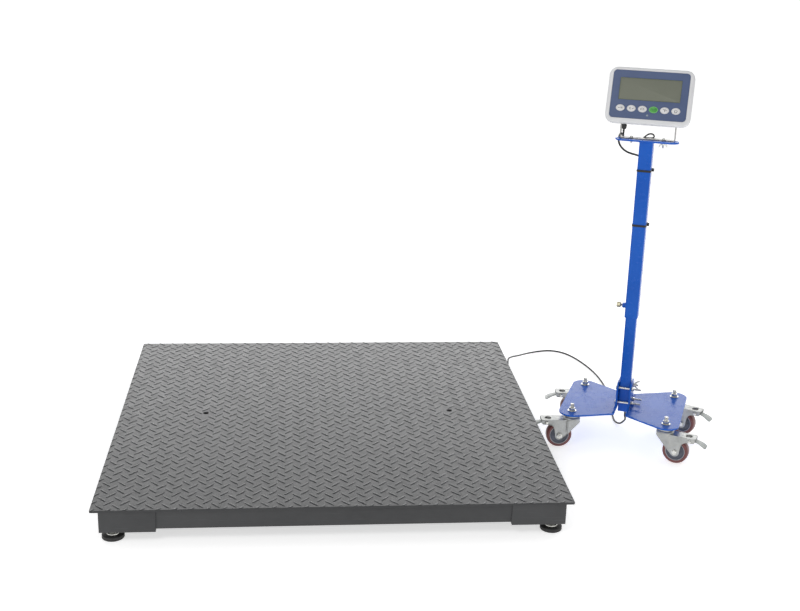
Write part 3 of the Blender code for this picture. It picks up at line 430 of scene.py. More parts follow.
def box(bm, x, y, z):
    bottom = [(x[0], y[0]), (x[1], y[0]), (x[1], y[1]), (x[0], y[1])]
    return loft(bm, [[(a, b, h) for a, b in bottom] for h in z])


def prism(bm, outline, span, axis="z"):
    def at(a, b, h):
        return {"x": (h, a, b), "y": (a, h, b), "z": (a, b, h)}[axis]

    return loft(bm, [[at(a, b, h) for a, b in outline] for h in span])


def circle(radius, sides, centre=(0, 0), phase=0.0):
    return [
        (
            centre[0] + radius * math.cos(2 * math.pi * i / sides + phase),
            centre[1] + radius * math.sin(2 * math.pi * i / sides + phase),
        )
        for i in range(sides)
    ]


def turned(bm, profile, sides=48, matrix=None, ring=False, radius_at=None):
    """Turns (radius, height) points about Z. radius_at(angle, radius, height) may shape the turn."""
    rows = []
    for radius, height in profile:
        if radius < 1e-9:
            points = [Vector((0, 0, height))]
        else:
            points = []
            for i in range(sides):
                a = 2 * math.pi * i / sides
                r = radius_at(a, radius, height) if radius_at else radius
                points.append(Vector((r * math.cos(a), r * math.sin(a), height)))
        rows.append([bm.verts.new(matrix @ p if matrix else p) for p in points])
    pairs = list(zip(rows, rows[1:]))
    if ring:
        pairs.append((rows[-1], rows[0]))
    for low, high in pairs:
        for i in range(sides):
            j = (i + 1) % sides
            corners = []
            for vert in (low[i % len(low)], low[j % len(low)], high[j % len(high)], high[i % len(high)]):
                if vert not in corners:
                    corners.append(vert)
            if len(corners) > 2:
                bm.faces.new(corners)
    return bm


def rounded_rect(width, height, radius, inset=0.0, centre=(0, 0), steps=8):
    half_w, half_h = width / 2 - inset, height / 2 - inset
    radius = max(radius - inset, 0.0003)
    points = []
    for quarter, (sx, sy) in enumerate(((1, 1), (-1, 1), (-1, -1), (1, -1))):
        for i in range(steps + 1):
            a = math.pi / 2 * (quarter + i / steps)
            points.append(
                (
                    centre[0] + sx * (half_w - radius) + radius * math.cos(a),
                    centre[1] + sy * (half_h - radius) + radius * math.sin(a),
                )
            )
    return points


def hull(points):
    points = sorted(set((round(x, 7), round(y, 7)) for x, y in points))

    def half(seq):
        out = []
        for p in seq:
            while len(out) > 1 and (out[-1][0] - out[-2][0]) * (p[1] - out[-2][1]) - (
                out[-1][1] - out[-2][1]
            ) * (p[0] - out[-2][0]) <= 1e-12:
                out.pop()
            out.append(p)
        return out[:-1]

    return half(points) + half(points[::-1])


def piece(name, bm, mat, body, matrix=None, replaces=(), bevel=0.0, sharp=34, segments=2, cut=None):
    """A finished piece in the CAD frame that rides on a body."""
    bmesh.ops.recalc_face_normals(bm, faces=bm.faces)
    mesh = bpy.data.meshes.new(name)
    bm.to_mesh(mesh)
    bm.free()
    obj = bpy.data.objects.new(name, mesh)
    bpy.context.scene.collection.objects.link(obj)
    if cut is not None:
        carve(obj, cut)
        mesh = obj.data
    if matrix is not None:
        mesh.transform(matrix)
    mesh.materials.clear()
    mesh.materials.append(mat)
    if bevel:
        soft = obj.modifiers.new("soft_edges", "BEVEL")
        soft.width = bevel
        soft.segments = segments
        soft.limit_method = "ANGLE"
        soft.angle_limit = math.radians(sharp)
        soft.harden_normals = True
        mesh.shade_smooth()
    else:
        mesh.shade_smooth()
        mesh.set_sharp_from_angle(angle=math.radians(sharp))
    if body:
        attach(obj, body)
    if replaces:
        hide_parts(*([replaces] if isinstance(replaces, str) else replaces))
    return obj


def carve(obj, cutters, operation="DIFFERENCE"):
    """Cuts obj's mesh with each cutter mesh, for good."""
    for bm in cutters if isinstance(cutters, list) else [cutters]:
        bmesh.ops.recalc_face_normals(bm, faces=bm.faces)
        mesh = bpy.data.meshes.new("cutter")
        bm.to_mesh(mesh)
        bm.free()
        helper = bpy.data.objects.new("cutter", mesh)
        bpy.context.scene.collection.objects.link(helper)
        mod = obj.modifiers.new("cut", "BOOLEAN")
        mod.operation = operation
        mod.solver = "EXACT"
        mod.object = helper
        bpy.context.view_layer.update()
        made = bpy.data.meshes.new_from_object(obj.evaluated_get(bpy.context.evaluated_depsgraph_get()))
        obj.modifiers.clear()
        obj.data = made
        bpy.data.objects.remove(helper)
    bm = bmesh.new()
    bm.from_mesh(obj.data)
    bmesh.ops.remove_doubles(bm, verts=bm.verts, dist=0.000004)
    bmesh.ops.dissolve_limit(bm, angle_limit=math.radians(0.5), verts=bm.verts, edges=bm.edges)
    bmesh.ops.recalc_face_normals(bm, faces=bm.faces)
    bm.to_mesh(obj.data)
    bm.free()


def refine(node, mat, body, bevel=0.0008, name=None):
    """A CAD node whose shape is right, remade with softened edges."""
    bm = bmesh.new()
    bm.from_mesh(NODES[node].data)
    bmesh.ops.remove_doubles(bm, verts=bm.verts, dist=0.000004)
    bmesh.ops.dissolve_limit(bm, angle_limit=math.radians(1.0), verts=bm.verts, edges=bm.edges)
    return piece(name or f"{node}_formed", bm, mat, body, replaces=node, bevel=bevel)


def hex_radius(flats):
    def radius(angle, limit, height):
        turn = math.fmod(angle + math.pi / 6, math.pi / 3) - math.pi / 6
        return min(limit, flats / 2 / math.cos(turn))

    return radius


def hex_nut(bm, flats, low, high, bore, matrix=None, both=True):
    """A hexagon nut with chamfered corners and a countersunk bore."""
    corner = flats / math.sqrt(3)
    cut = corner - flats / 2
    drop = cut * 0.62
    start = [(flats / 2 * 0.975, low), (flats / 2 * 1.045, low + drop * 0.45), (corner, low + drop)]
    if not both:
        start = [(corner, low), (corner, low + drop)]
    end = [(corner, high - drop), (flats / 2 * 1.045, high - drop * 0.45), (flats / 2 * 0.975, high)]
    profile = [(bore, low + 0.0004), (bore * 1.16, low), *start, *end, (bore * 1.16, high), (bore, high - 0.0004)]
    shape = hex_radius(flats)
    return turned(bm, profile, 48, matrix, ring=True, radius_at=lambda a, r, z: r if r < flats * 0.48 else shape(a, r, z))


def hex_head(bm, flats, low, high, matrix=None):
    corner = flats / math.sqrt(3)
    drop = (corner - flats / 2) * 0.62
    profile = [(0, low), (corner * 0.99, low), (corner, low + 0.0001), (corner, high - drop),
               (flats / 2 * 1.045, high - drop * 0.45), (flats / 2 * 0.95, high), (0, high)]
    return turned(bm, profile, 48, matrix, radius_at=hex_radius(flats))


def thread(bm, radius, pitch, low, high, matrix=None, sides=28, depth=None, tip="both"):
    """A threaded rod: a true helix, with chamfered ends."""
    depth = depth or pitch * 0.45
    steps = max(4, int(math.ceil((high - low) / pitch * 4)))
    rows = [[bm.verts.new(matrix @ Vector((0, 0, low)) if matrix else Vector((0, 0, low)))]]
    for k in range(steps + 1):
        z = low + (high - low) * k / steps
        row = []
        for i in range(sides):
            a = 2 * math.pi * i / sides
            wave = abs(2 * math.fmod(z / pitch - i / sides + 1000.0, 1.0) - 1)
            r = radius - depth * wave
            if tip in ("both", "high"):
                r = min(r, radius - depth * 1.15 + (high - z) * 1.1)
            if tip in ("both", "low"):
                r = min(r, radius - depth * 1.15 + (z - low) * 1.1)
            p = Vector((r * math.cos(a), r * math.sin(a), z))
            row.append(bm.verts.new(matrix @ p if matrix else p))
        rows.append(row)
    rows.append([bm.verts.new(matrix @ Vector((0, 0, high)) if matrix else Vector((0, 0, high)))])
    for a, b in zip(rows, rows[1:]):
        for i in range(sides):
            j = (i + 1) % sides
            corners = []
            for v in (a[i % len(a)], a[j % len(a)], b[j % len(b)], b[i % len(b)]):
                if v not in corners:
                    corners.append(v)
            if len(corners) > 2:
                bm.faces.new(corners)
    return bm


def washer(bm, outer, bore, low, high, matrix=None):
    ease = min(0.0003, (high - low) * 0.3)
    profile = [(bore, low), (outer - ease, low), (outer, low + ease), (outer, high - ease), (outer - ease, high),
               (bore + ease, high), (bore, high - ease)]
    return turned(bm, profile, 56, matrix, ring=True)


def smooth_route(points, count):
    """Evenly spaced points on a centripetal Catmull-Rom curve through the given ones."""
    pts = [Vector(p) for p in points]
    pts = [2 * pts[0] - pts[1], *pts, 2 * pts[-1] - pts[-2]]
    fine = []
    for p0, p1, p2, p3 in zip(pts, pts[1:], pts[2:], pts[3:]):
        t = [0.0]
        for a, b in ((p0, p1), (p1, p2), (p2, p3)):
            t.append(t[-1] + max((b - a).length, 1e-9) ** 0.5)
        for k in range(24):
            u = t[1] + (t[2] - t[1]) * k / 24
            a1 = p0.lerp(p1, (u - t[0]) / (t[1] - t[0]))
            a2 = p1.lerp(p2, (u - t[1]) / (t[2] - t[1]))
            a3 = p2.lerp(p3, (u - t[2]) / (t[3] - t[2]))
            b1 = a1.lerp(a2, (u - t[0]) / (t[2] - t[0]))
            b2 = a2.lerp(a3, (u - t[1]) / (t[3] - t[1]))
            fine.append(b1.lerp(b2, (u - t[1]) / (t[2] - t[1])))
    fine.append(pts[-2])
    along = [0.0]
    for a, b in zip(fine, fine[1:]):
        along.append(along[-1] + (b - a).length)
    even, k = [], 0
    for i in range(count):
        want = along[-1] * i / (count - 1)
        while k < len(along) - 2 and along[k + 1] < want:
            k += 1
        step = along[k + 1] - along[k]
        even.append(fine[k].lerp(fine[k + 1], (want - along[k]) / step if step else 0.0))
    return even


def sweep(bm, path, section, first_up=None):
    """A closed section of (across, up) pairs, carried along path without twisting."""
    tangents = []
    for i in range(len(path)):
        a, b = path[max(i - 1, 0)], path[min(i + 1, len(path) - 1)]
        tangents.append((b - a).normalized())
    up = first_up or (Vector((0, 0, 1)) if abs(tangents[0].z) < 0.9 else Vector((0, 1, 0)))
    loops = []
    for p, t in zip(path, tangents):
        up = (up - t * up.dot(t)).normalized()
        side = t.cross(up)
        loops.append([p + side * a + up * b for a, b in section])
    return loft(bm, loops)


def cord_piece(name, points, count, lead_in, lead_out, place=None):
    lead_in, lead_out = Vector(lead_in), Vector(lead_out)
    points = [Vector(p) for p in points]
    route = smooth_route([points[0] + lead_in, *points[1:-1], points[-1] - lead_out], count)
    route = [points[0], *route, points[-1]]
    if place is not None:
        route = [place @ p for p in route]
    bm = sweep(bmesh.new(), route, circle(CORD_R, 20))
    obj = piece(f"{name}_cable", bm, M["cable"], None, sharp=50)
    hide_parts(name)
    length = sum((b - a).length for a, b in zip(route, route[1:]))
    return obj, route, length


# ---------------------------------------------------------------- cord: one lead in three runs
def make_cords():
    gland = Vector((0.6083, 0.46, 0.055))
    floor = [
        gland, gland + Vector((0.0110, 0.0050, -0.0003)), (0.6260, 0.4830, 0.0540), (0.6310, 0.5120, 0.0538),
        (0.6390, 0.5430, 0.0520), (0.6560, 0.5740, 0.0460), (0.6900, 0.6280, 0.0310), (0.7240, 0.6840, 0.0160),
        (0.7570, 0.7230, 0.0070), (0.7910, 0.7460, FLOOR_Z), (0.8230, 0.7510, FLOOR_Z), (0.8520, 0.7430, FLOOR_Z),
        (0.8780, 0.7200, FLOOR_Z), (0.9000, 0.6800, FLOOR_Z), (0.9180, 0.6280, FLOOR_Z), (0.9330, 0.5660, FLOOR_Z),
        (0.9430, 0.4900, FLOOR_Z), (0.9445, 0.4000, FLOOR_Z), (0.9370, 0.3100, FLOOR_Z), (0.9230, 0.2250, FLOOR_Z),
        (0.9080, 0.1500, FLOOR_Z), (0.9040, 0.1020, FLOOR_Z + 0.0005), (0.9110, 0.0740, 0.0090),
        (0.9180, 0.0560, 0.0250), (0.9150, 0.0330, 0.0430),
    ]
    floor = [PLATFORM @ Vector(p) for p in floor]
    floor += [STAND @ Vector((0.0020, 0.0300, z)) for z in (0.0620, 0.0760, 0.0900)]
    run, route, length = cord_piece("cord_floor", floor, 150, (0.0030, 0, 0), (0, 0, 0.0030))
    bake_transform(run)
    back = 0.0381 / 2 + GAP + CORD_R
    riser = [
        (0.0020, 0.0300, 0.0905), (0.0020, 0.0300, 0.1060), (0.0010, 0.0298, 0.1300), (0, 0.0292, 0.1700),
        (0, 0.0275, 0.2400), (0, 0.0250, 0.3200), (0, back + 0.0008, 0.4000), (0, back + GAP, 0.5000),
        (0, back + GAP, 0.5800), (0, back + GAP, 0.6620),
    ]
    run, route, length = cord_piece("cord_riser", riser, 70, (0, 0, 0.0030), (0, 0, 0.0030), STAND)
    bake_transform(run)
    to_case = Matrix.Translation((0, 0.006, 1.030)) @ Matrix.Rotation(-TILT, 4, "X")
    down = (to_case.to_3x3() @ Vector((0, 0, -1))).normalized()
    end = to_case @ Vector((-0.0620, -0.0220, -0.157 / 2 + 0.0010 - 0.0145 - GAP))
    upper = [
        (0, back + GAP, 0.6623), (0, back + GAP, 0.7400), (0, back + GAP, 0.8000), (0, back + GAP, 0.8320),
        (-0.0035, 0.0235, 0.8480), (-0.0130, 0.0262, 0.8595), (-0.0260, 0.0285, 0.8650), (-0.0420, 0.0300, 0.8680),
        (-0.0580, 0.0310, 0.8725), (-0.0715, 0.0322, 0.8810), (-0.0805, 0.0330, 0.8920), (-0.0845, 0.0330, 0.9040),
        (-0.0830, 0.0285, 0.9165), (-0.0790, 0.0185, 0.9250), (-0.0740, 0.0050, 0.9285), (-0.0690, -0.0100, 0.9285),
        (-0.0655, -0.0240, 0.9272), (-0.0632, -0.0360, 0.9290), end + down * 0.0110, end + down * 0.0050, end,
    ]
    run, route, length = cord_piece("cord_upper", upper, 90, (0, 0, 0.0030), -0.0030 * down, STAND)
    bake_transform(run)


make_cords()


# ---------------------------------------------------------------- platform
def tread_lugs():
    """Raised lugs in the five-by-five alternation of tread plate, cut flush at the plate's sheared edges."""
    bm = bmesh.new()
    half = 1.2192 / 2 - 0.0009
    top = 0.0900
    length, width, height = 0.0340, 0.0064, 0.0010
    sides = 12
    outline = []
    for i in range(sides):
        a = 2 * math.pi * (i + 0.5) / sides
        c, s = math.cos(a), math.sin(a)
        outline.append((math.copysign(abs(c) ** 0.80, c) * length / 2, math.copysign(abs(s) ** 0.85, s) * width / 2))
    layers = ((1.0, 1.0, -0.0002), (1.0, 1.0, 0.0), (0.955, 0.80, 0.70 * height), (0.88, 0.50, height))
    edge_lugs = []

    def lug(x, y, angle, target):
        c, s = math.cos(angle), math.sin(angle)
        rows = []
        for la, wa, h in layers[1:]:
            rows.append([target.verts.new((x + c * a * la - s * b * wa, y + s * a * la + c * b * wa, top + h))
                         for a, b in outline])
        for low, high in zip(rows, rows[1:]):
            for i in range(sides):
                j = (i + 1) % sides
                target.faces.new((low[i], low[j], high[j], high[i]))
        target.faces.new(rows[-1])
        target.faces.new(rows[0][::-1])

    pitch_x, pitch_y = 0.0408, 0.0425
    reach = length / 2
    for x0, y0, angle in ((0.0042, -0.5680, math.radians(49)), (-0.0162, -0.5895, math.radians(-49))):
        for k in range(-17, 18):
            for j in range(-2, 31):
                x, y = x0 + k * pitch_x, y0 + j * pitch_y
                if max(abs(x), abs(y)) > half + 0.011:
                    continue
                if min(math.hypot(abs(x) - 0.3620, y), 1) < 0.0165:
                    continue
                if max(abs(x) + reach * 0.70, abs(y) + reach * 0.80) > half:
                    edge_lugs.append((x, y, angle))
                else:
                    lug(x, y, angle, bm)
    for x, y, angle in edge_lugs:
        part = bmesh.new()
        lug(x, y, angle, part)
        for axis in (0, 1):
            for sign in (-1, 1):
                normal, place = [0, 0, 0], [0, 0, 0]
                normal[axis], place[axis] = sign, sign * half
                found = bmesh.ops.bisect_plane(
                    part, geom=part.verts[:] + part.edges[:] + part.faces[:], plane_co=place, plane_no=normal,
                    clear_outer=True,
                )
                edges = [e for e in found["geom_cut"] if isinstance(e, bmesh.types.BMEdge)]
                if edges:
                    bmesh.ops.holes_fill(part, edges=edges, sides=0)
        if len(part.faces) > 3:
            temp = bpy.data.meshes.new("lug")
            part.to_mesh(temp)
            bm.from_mesh(temp)
            bpy.data.meshes.remove(temp)
        part.free()
    return bm


def make_platform():
    plate = prism(bmesh.new(), rounded_rect(1.2192, 1.2192, 0.0040, steps=6), (0.0840, 0.0900))
    holes = bmesh.new()
    for side in (-1, 1):
        loft(holes, [[(x, y, z) for x, y in circle(r, 40, (side * 0.3620, 0))]
                     for r, z in ((0.0079, 0.0800), (0.0079, 0.0891), (0.0092, 0.0905))])
    piece("tread_plate", plate, M["deck"], "platform", PLATFORM, "deck_plate", 0.0006, cut=holes)
    piece("tread_lugs", tread_lugs(), M["deck"], "platform", PLATFORM, sharp=60)
    for name, side in (("left", -1), ("right", 1)):
        place = PLATFORM @ Matrix.Translation((side * 0.3620, 0, 0))
        bm = hex_nut(bmesh.new(), 0.0240, 0.0712, 0.0838, 0.0079)
        cap = turned(bmesh.new(), [(0, 0.0700), (0.0060, 0.0700), (0.0082, 0.0704), (0.0092, 0.0711), (0.0092, 0.0716), (0, 0.0716)], 40)
        piece(f"lifting_cap_{name}", cap, M["plastic"], "platform", place, sharp=36)
        piece(f"lifting_nut_{name}", bm, M["dark_steel"], "platform", place, sharp=25)
        rings = []
        z = 0.0722
        while z < 0.0884:
            rings += [(0.0079, z), (0.0073, z + 0.0007)]
            z += 0.0014
        profile = [(0.00815, 0.0720), *rings, (0.0079, 0.0888), (0.00815, 0.0888)]
        bm = turned(bmesh.new(), profile, 40, ring=True)
        piece(f"lifting_thread_{name}", bm, M["dark_steel"], "platform", place, sharp=30)
        refine(f"side_channel_{name}", M["frame"], "platform", 0.0011)
    refine("cross_frame", M["frame"], "platform", 0.0011)
    # Weld beads where the middle rails butt against the side channels, front and back.
    for tag, sy in (("front", -1), ("back", 1)):
        for where, sx in (("left", -1), ("right", 1)):
            x = sx * (0.5890 - 0.1400 - GAP / 2)
            path = [Vector((x + 0.00025 * math.sin(i * 1.9), sy * 0.60345, 0.0372 + 0.0455 * i / 56)) for i in range(57)]
            bm = sweep(bmesh.new(), path, circle(0.0016, 10), Vector((0, 1, 0)))
            for v in bm.verts:
                ripple = 1 + 0.16 * math.sin(v.co.z * 2 * math.pi / 0.0021)
                v.co.x = x + (v.co.x - x) * ripple
                v.co.y = sy * 0.60345 + (v.co.y - sy * 0.60345) * ripple
            piece(f"weld_{tag}_{where}", bm, M["frame"], "platform", PLATFORM, sharp=60)

    for tag in ("fl", "fr", "bl", "br"):
        sx, sy = (-1 if tag[1] == "l" else 1), (-1 if tag[0] == "f" else 1)
        refine(f"load_cell_{tag}", M["alloy"], "platform", 0.0006)
        place = PLATFORM @ Matrix.Translation((sx * 0.5585, sy * 0.5750, 0))
        pad = [(0, 0.0), (0.0235, 0.0), (0.0240, 0.0008), (0.0268, 0.0008), (0.0272, 0.0), (0.0278, 0.0002),
               (0.0285, 0.0014), (0.0285, 0.0034), (0.0281, 0.0038), (0.0281, 0.0048), (0.0285, 0.0052),
               (0.0285, 0.0080), (0.0279, 0.0096), (0.0262, 0.0108), (0.0225, 0.0114), (0.0180, 0.0118),
               (0.0172, 0.0122), (0, 0.0122)]
        piece(f"foot_pad_{tag}", turned(bmesh.new(), pad, 64, place), M["rubber"], f"foot_{tag}", None,
              f"foot_{tag}", sharp=40)
        cup = [(0.0, 0.0122), (0.0168, 0.0122), (0.0170, 0.0126), (0.0166, 0.0142), (0.0150, 0.0156),
               (0.0118, 0.0164), (0.0102, 0.0170), (0.0, 0.0170)]
        bm = turned(bmesh.new(), cup, 56)
        piece(f"foot_cup_{tag}", bm, M["bright"], f"foot_{tag}", place, sharp=32)
        bm = hex_nut(bmesh.new(), 0.0185, 0.0172, 0.0242, 0.0058)
        piece(f"foot_nut_{tag}", bm, M["bright"], f"foot_{tag}", place, sharp=24)
        bm = thread(bmesh.new(), 0.00595, 0.0017, 0.0165, 0.0630)
        piece(f"foot_stem_{tag}", bm, M["bright"], f"foot_{tag}", place, sharp=50)

    # Junction box: a drawn lid with a lip and four screws.
    box_mid = (0.3000, 0.4000)
    bm = loft(bmesh.new(), [[(x, y, z) for x, y in rounded_rect(0.1100, 0.0800, 0.006, inset, box_mid)]
                            for inset, z in ((0.0012, 0.0540), (0.0004, 0.0548), (0.0, 0.0560), (0.0, 0.0835))])
    piece("junction_body", bm, M["steel"], "platform", PLATFORM, "junction_box", sharp=30)
    bm = loft(bmesh.new(), [[(x, y, z) for x, y in rounded_rect(0.1090, 0.0790, 0.006, inset, box_mid)]
                            for inset, z in ((0.0016, 0.0506), (0.0004, 0.0511), (0.0, 0.0520), (0.0, 0.0537))])
    piece("junction_lid", bm, M["steel"], "platform", PLATFORM, sharp=30)
    for i, (dx, dy) in enumerate(((-1, -1), (1, -1), (1, 1), (-1, 1)), 1):
        place = PLATFORM @ Matrix.Translation((0.3 + dx * 0.047, 0.4 + dy * 0.032, 0.05065)) @ Matrix.Rotation(math.pi, 4, "X")
        bm = turned(bmesh.new(), [(0, -0.0006), (0.0034, -0.0006), (0.0034, 0.0004), (0.0026, 0.00125), (0.0014, 0.0016), (0, 0.0017)], 32)
        cross = box(bmesh.new(), (-0.0018, 0.0018), (-0.00035, 0.00035), (0.0007, 0.0030))
        cross2 = box(bmesh.new(), (-0.00035, 0.00035), (-0.0018, 0.0018), (0.0007, 0.0030))
        place = place @ Matrix.Translation((0, 0, -0.0015))
        piece(f"junction_screw_{i}", bm, M["bright"], "platform", place, sharp=30,
              cut=[cross, cross2])

    # Gland where the lead leaves the platform: body hexagon and ribbed dome nut.
    place = PLATFORM @ Matrix.Translation((0.5890, 0.4600, 0.0550)) @ ALONG_X
    gland(place, "platform", "platform", "platform_cable_gland")


def gland(place, tag, body, node, scale=1.0, shank=-0.0080):
    def hexed(a, r, z):
        return hex_radius(0.0178)(a, r, z)

    bm = turned(bmesh.new(), [(0, shank), (0.0058, shank), (0.0058, GAP), (0.0088, GAP), (0.0099, 0.0012),
                              (0.0099, 0.0050), (0.0088, 0.0060), (0, 0.0060)], 48, radius_at=hexed)
    piece(f"{tag}_gland_body", bm, M["plastic"], body, place @ Matrix.Scale(scale, 4), node, sharp=26)

    def ribbed(a, r, z):
        if 0.0068 < z < 0.0150 and r > 0.0080:
            return r - 0.00035 * (0.5 + 0.5 * math.cos(18 * a))
        return r

    bm = turned(bmesh.new(), [(0.0030, 0.0061), (0.0088, 0.0061), (0.0091, 0.0066), (0.0091, 0.0078), (0.0091, 0.0110),
                              (0.0088, 0.0140), (0.0080, 0.0163), (0.0066, 0.0180), (0.0048, 0.0188),
                              (0.0036, 0.0189), (0.0030, 0.0184)], 108, ring=True, radius_at=ribbed)
    piece(f"{tag}_gland_nut", bm, M["plastic"], body, place @ Matrix.Scale(scale, 4), None, sharp=40)


make_platform()


# ---------------------------------------------------------------- stand: wings, clamp, lower tube, caster stems
def wing_outline(side):
    points = [(side * 0.0175, -0.0920 + 0.006), (side * 0.0175, 0.0920 - 0.006),
              (side * (0.0175 + 0.006), -0.0920), (side * (0.0175 + 0.006), 0.0920)]
    for i in range(7):
        a = math.pi / 2 * i / 6
        for end in (-1, 1):
            points.append((side * (0.0175 + 0.006 - 0.006 * math.cos(a)), end * (0.0860 + 0.006 * math.sin(a))))
    for end in (-1, 1):
        points += circle(0.0380, 80, (side * STEM_X, end * STEM_Y))
    return hull(points)


def make_wing(name, side):
    bm = prism(bmesh.new(), wing_outline(side), (0.1070, 0.1120))
    outline = [(-0.0880, 0.1082), (0.0880, 0.1082), (0.0880, 0.1135)]
    corner = [(0.0800, 0.1150), (0.0600, 0.1192), (0.0480, 0.1228), (0.0428, 0.1262), (0.0404, 0.1310)]
    outline += corner
    outline += [(0.0400, 0.1360), (0.0400, 0.1680)]
    for i in range(5):
        a = math.radians(12 + 50 * i / 4)
        outline.append((0.0330 + 0.0070 * math.cos(a), 0.1700 + 0.0070 * math.sin(a)))
    outline += [(0.0275, 0.1850), (0.0255, 0.1866), (0.0235, 0.1870)]
    outline += [(-y, z) for y, z in outline[:1:-1]]
    outline.pop(0)
    outline = [(-0.0880, 0.1082)] + outline
    span = sorted((side * 0.0165, side * 0.0215))
    obj = piece(name, bm, M["blue"], None)
    flange = prism(bmesh.new(), outline, span, "x")
    carve(obj, flange, "UNION")
    cutters = []
    for end in (-1, 1):
        cutters.append(prism(bmesh.new(), circle(0.0064, 36, (side * STEM_X, end * STEM_Y)), (0.09, 0.13)))
        for z in (0.1230, 0.1690):
            cutters.append(prism(bmesh.new(), circle(0.0034, 28, (end * 0.0195, z)), (span[0] - 0.004, span[1] + 0.004), "x"))
    merged = cutters[0]
    for other in cutters[1:]:
        temp = bpy.data.meshes.new("temp")
        other.to_mesh(temp)
        merged.from_mesh(temp)
        other.free()
    carve(obj, merged)
    obj.data.transform(STAND)
    obj.data.materials.clear()
    obj.data.materials.append(M["blue"])
    soft = obj.modifiers.new("soft_edges", "BEVEL")
    soft.width = 0.0007
    soft.segments = 3
    soft.limit_method = "ANGLE"
    soft.angle_limit = math.radians(40)
    soft.harden_normals = True
    obj.data.shade_smooth()
    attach(obj, "stand")
    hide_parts(name.replace("_formed", ""))
    # The weld that joins the flange to the plate.
    for end in (-1, 1):
        path = [Vector((side * (0.0215 + 0.0006), end * (0.0440 + 0.040 * i / 44), 0.11225)) for i in range(45)]
        bm = sweep(bmesh.new(), path, circle(0.0015, 10), Vector((0, 0, 1)))
        for v in bm.verts:
            v.co.z = 0.11225 + (v.co.z - 0.11225) * (1 + 0.15 * math.sin(v.co.y * 2 * math.pi / 0.0019))
        piece(f"{name}_weld_{'front' if end < 0 else 'back'}", bm, M["blue"], "stand", STAND, sharp=60)


def tube(name, size, wall, z, corner, body, node, extra=None):
    bm = bmesh.new()
    outer, inner = rounded_rect(size, size, corner, steps=8), rounded_rect(size - 2 * wall, size - 2 * wall, max(corner - wall, 0.0010), steps=8)
    ease = 0.0005
    rows = []
    for outline, inset, h in (
        (outer, ease, z[0]), (outer, 0, z[0] + ease), (outer, 0, z[1] - ease), (outer, ease, z[1]),
        (inner, 0, z[1]), (inner, 0, z[0]),
    ):
        k = 1 - 2 * inset / size
        rows.append([bm.verts.new((x * k, y * k, h)) for x, y in outline])
    count = len(rows[0])
    for low, high in zip(rows, rows[1:] + rows[:1]):
        for i in range(count):
            j = (i + 1) % count
            bm.faces.new((low[i], low[j], high[j], high[i]))
    return bm


def clamp_bolt(tag, y, z, wing_nut):
    """A long screw across both flanges: head and washer at the left, washer, nut and thread end at the right."""
    place = STAND @ Matrix.Translation((0, y, z)) @ ALONG_X
    node = f"clamp_bolt_{tag}"
    rod = turned(bmesh.new(), [(0, -0.0236), (0.0030, -0.0236), (0.0030, 0.0180), (0, 0.0180)], 32)
    piece(f"{node}_shank", rod, M["bright"], "stand", place, node, sharp=40)
    end = 0.0360 if wing_nut else 0.0495
    piece(f"{node}_thread", thread(bmesh.new(), 0.00295, 0.0010, 0.0175, end, sides=24), M["bright"], "stand", place,
          sharp=50)
    dome = [(0, -0.0267), (0.0020, -0.0266), (0.0040, -0.0260), (0.0053, -0.0250), (0.0060, -0.0236), (0.0061, -0.0230),
            (0, -0.0230)]
    piece(f"{node}_head", turned(bmesh.new(), dome, 40), M["bright"], "stand", place, sharp=35)
    piece(f"{node}_washer_left", washer(bmesh.new(), 0.0070, 0.0032, -0.0230, -0.0218), M["bright"], "stand", place,
          sharp=30)
    piece(f"{node}_washer_right", washer(bmesh.new(), 0.0070, 0.0032, 0.0218, 0.0230), M["bright"], "stand", place,
          sharp=30)
    if wing_nut:
        bm = turned(bmesh.new(), [(0.0031, 0.0231), (0.0056, 0.0231), (0.0052, 0.0300), (0.0031, 0.0302)], 36, ring=True)
        piece(f"{node}_wing_hub", bm, M["bright"], "stand", place, sharp=35)
        for side in (-1, 1):
            leaf = [(0.0036, 0.0240), (0.0085, 0.0262), (0.0130, 0.0318), (0.0150, 0.0372), (0.0146, 0.0398), (0.0128, 0.0402),
                    (0.0108, 0.0380), (0.0072, 0.0328), (0.0036, 0.0298)]
            bm = prism(bmesh.new(), [(side * a, b) for a, b in leaf], (-0.0011, 0.0011), "y")
            piece(f"{node}_wing_{'low' if side < 0 else 'high'}", bm, M["bright"], "stand", place,
                  bevel=0.0004)
    else:
        piece(f"{node}_nut", hex_nut(bmesh.new(), 0.0100, 0.0231, 0.0281, 0.0030), M["bright"], "stand", place,
              sharp=24)


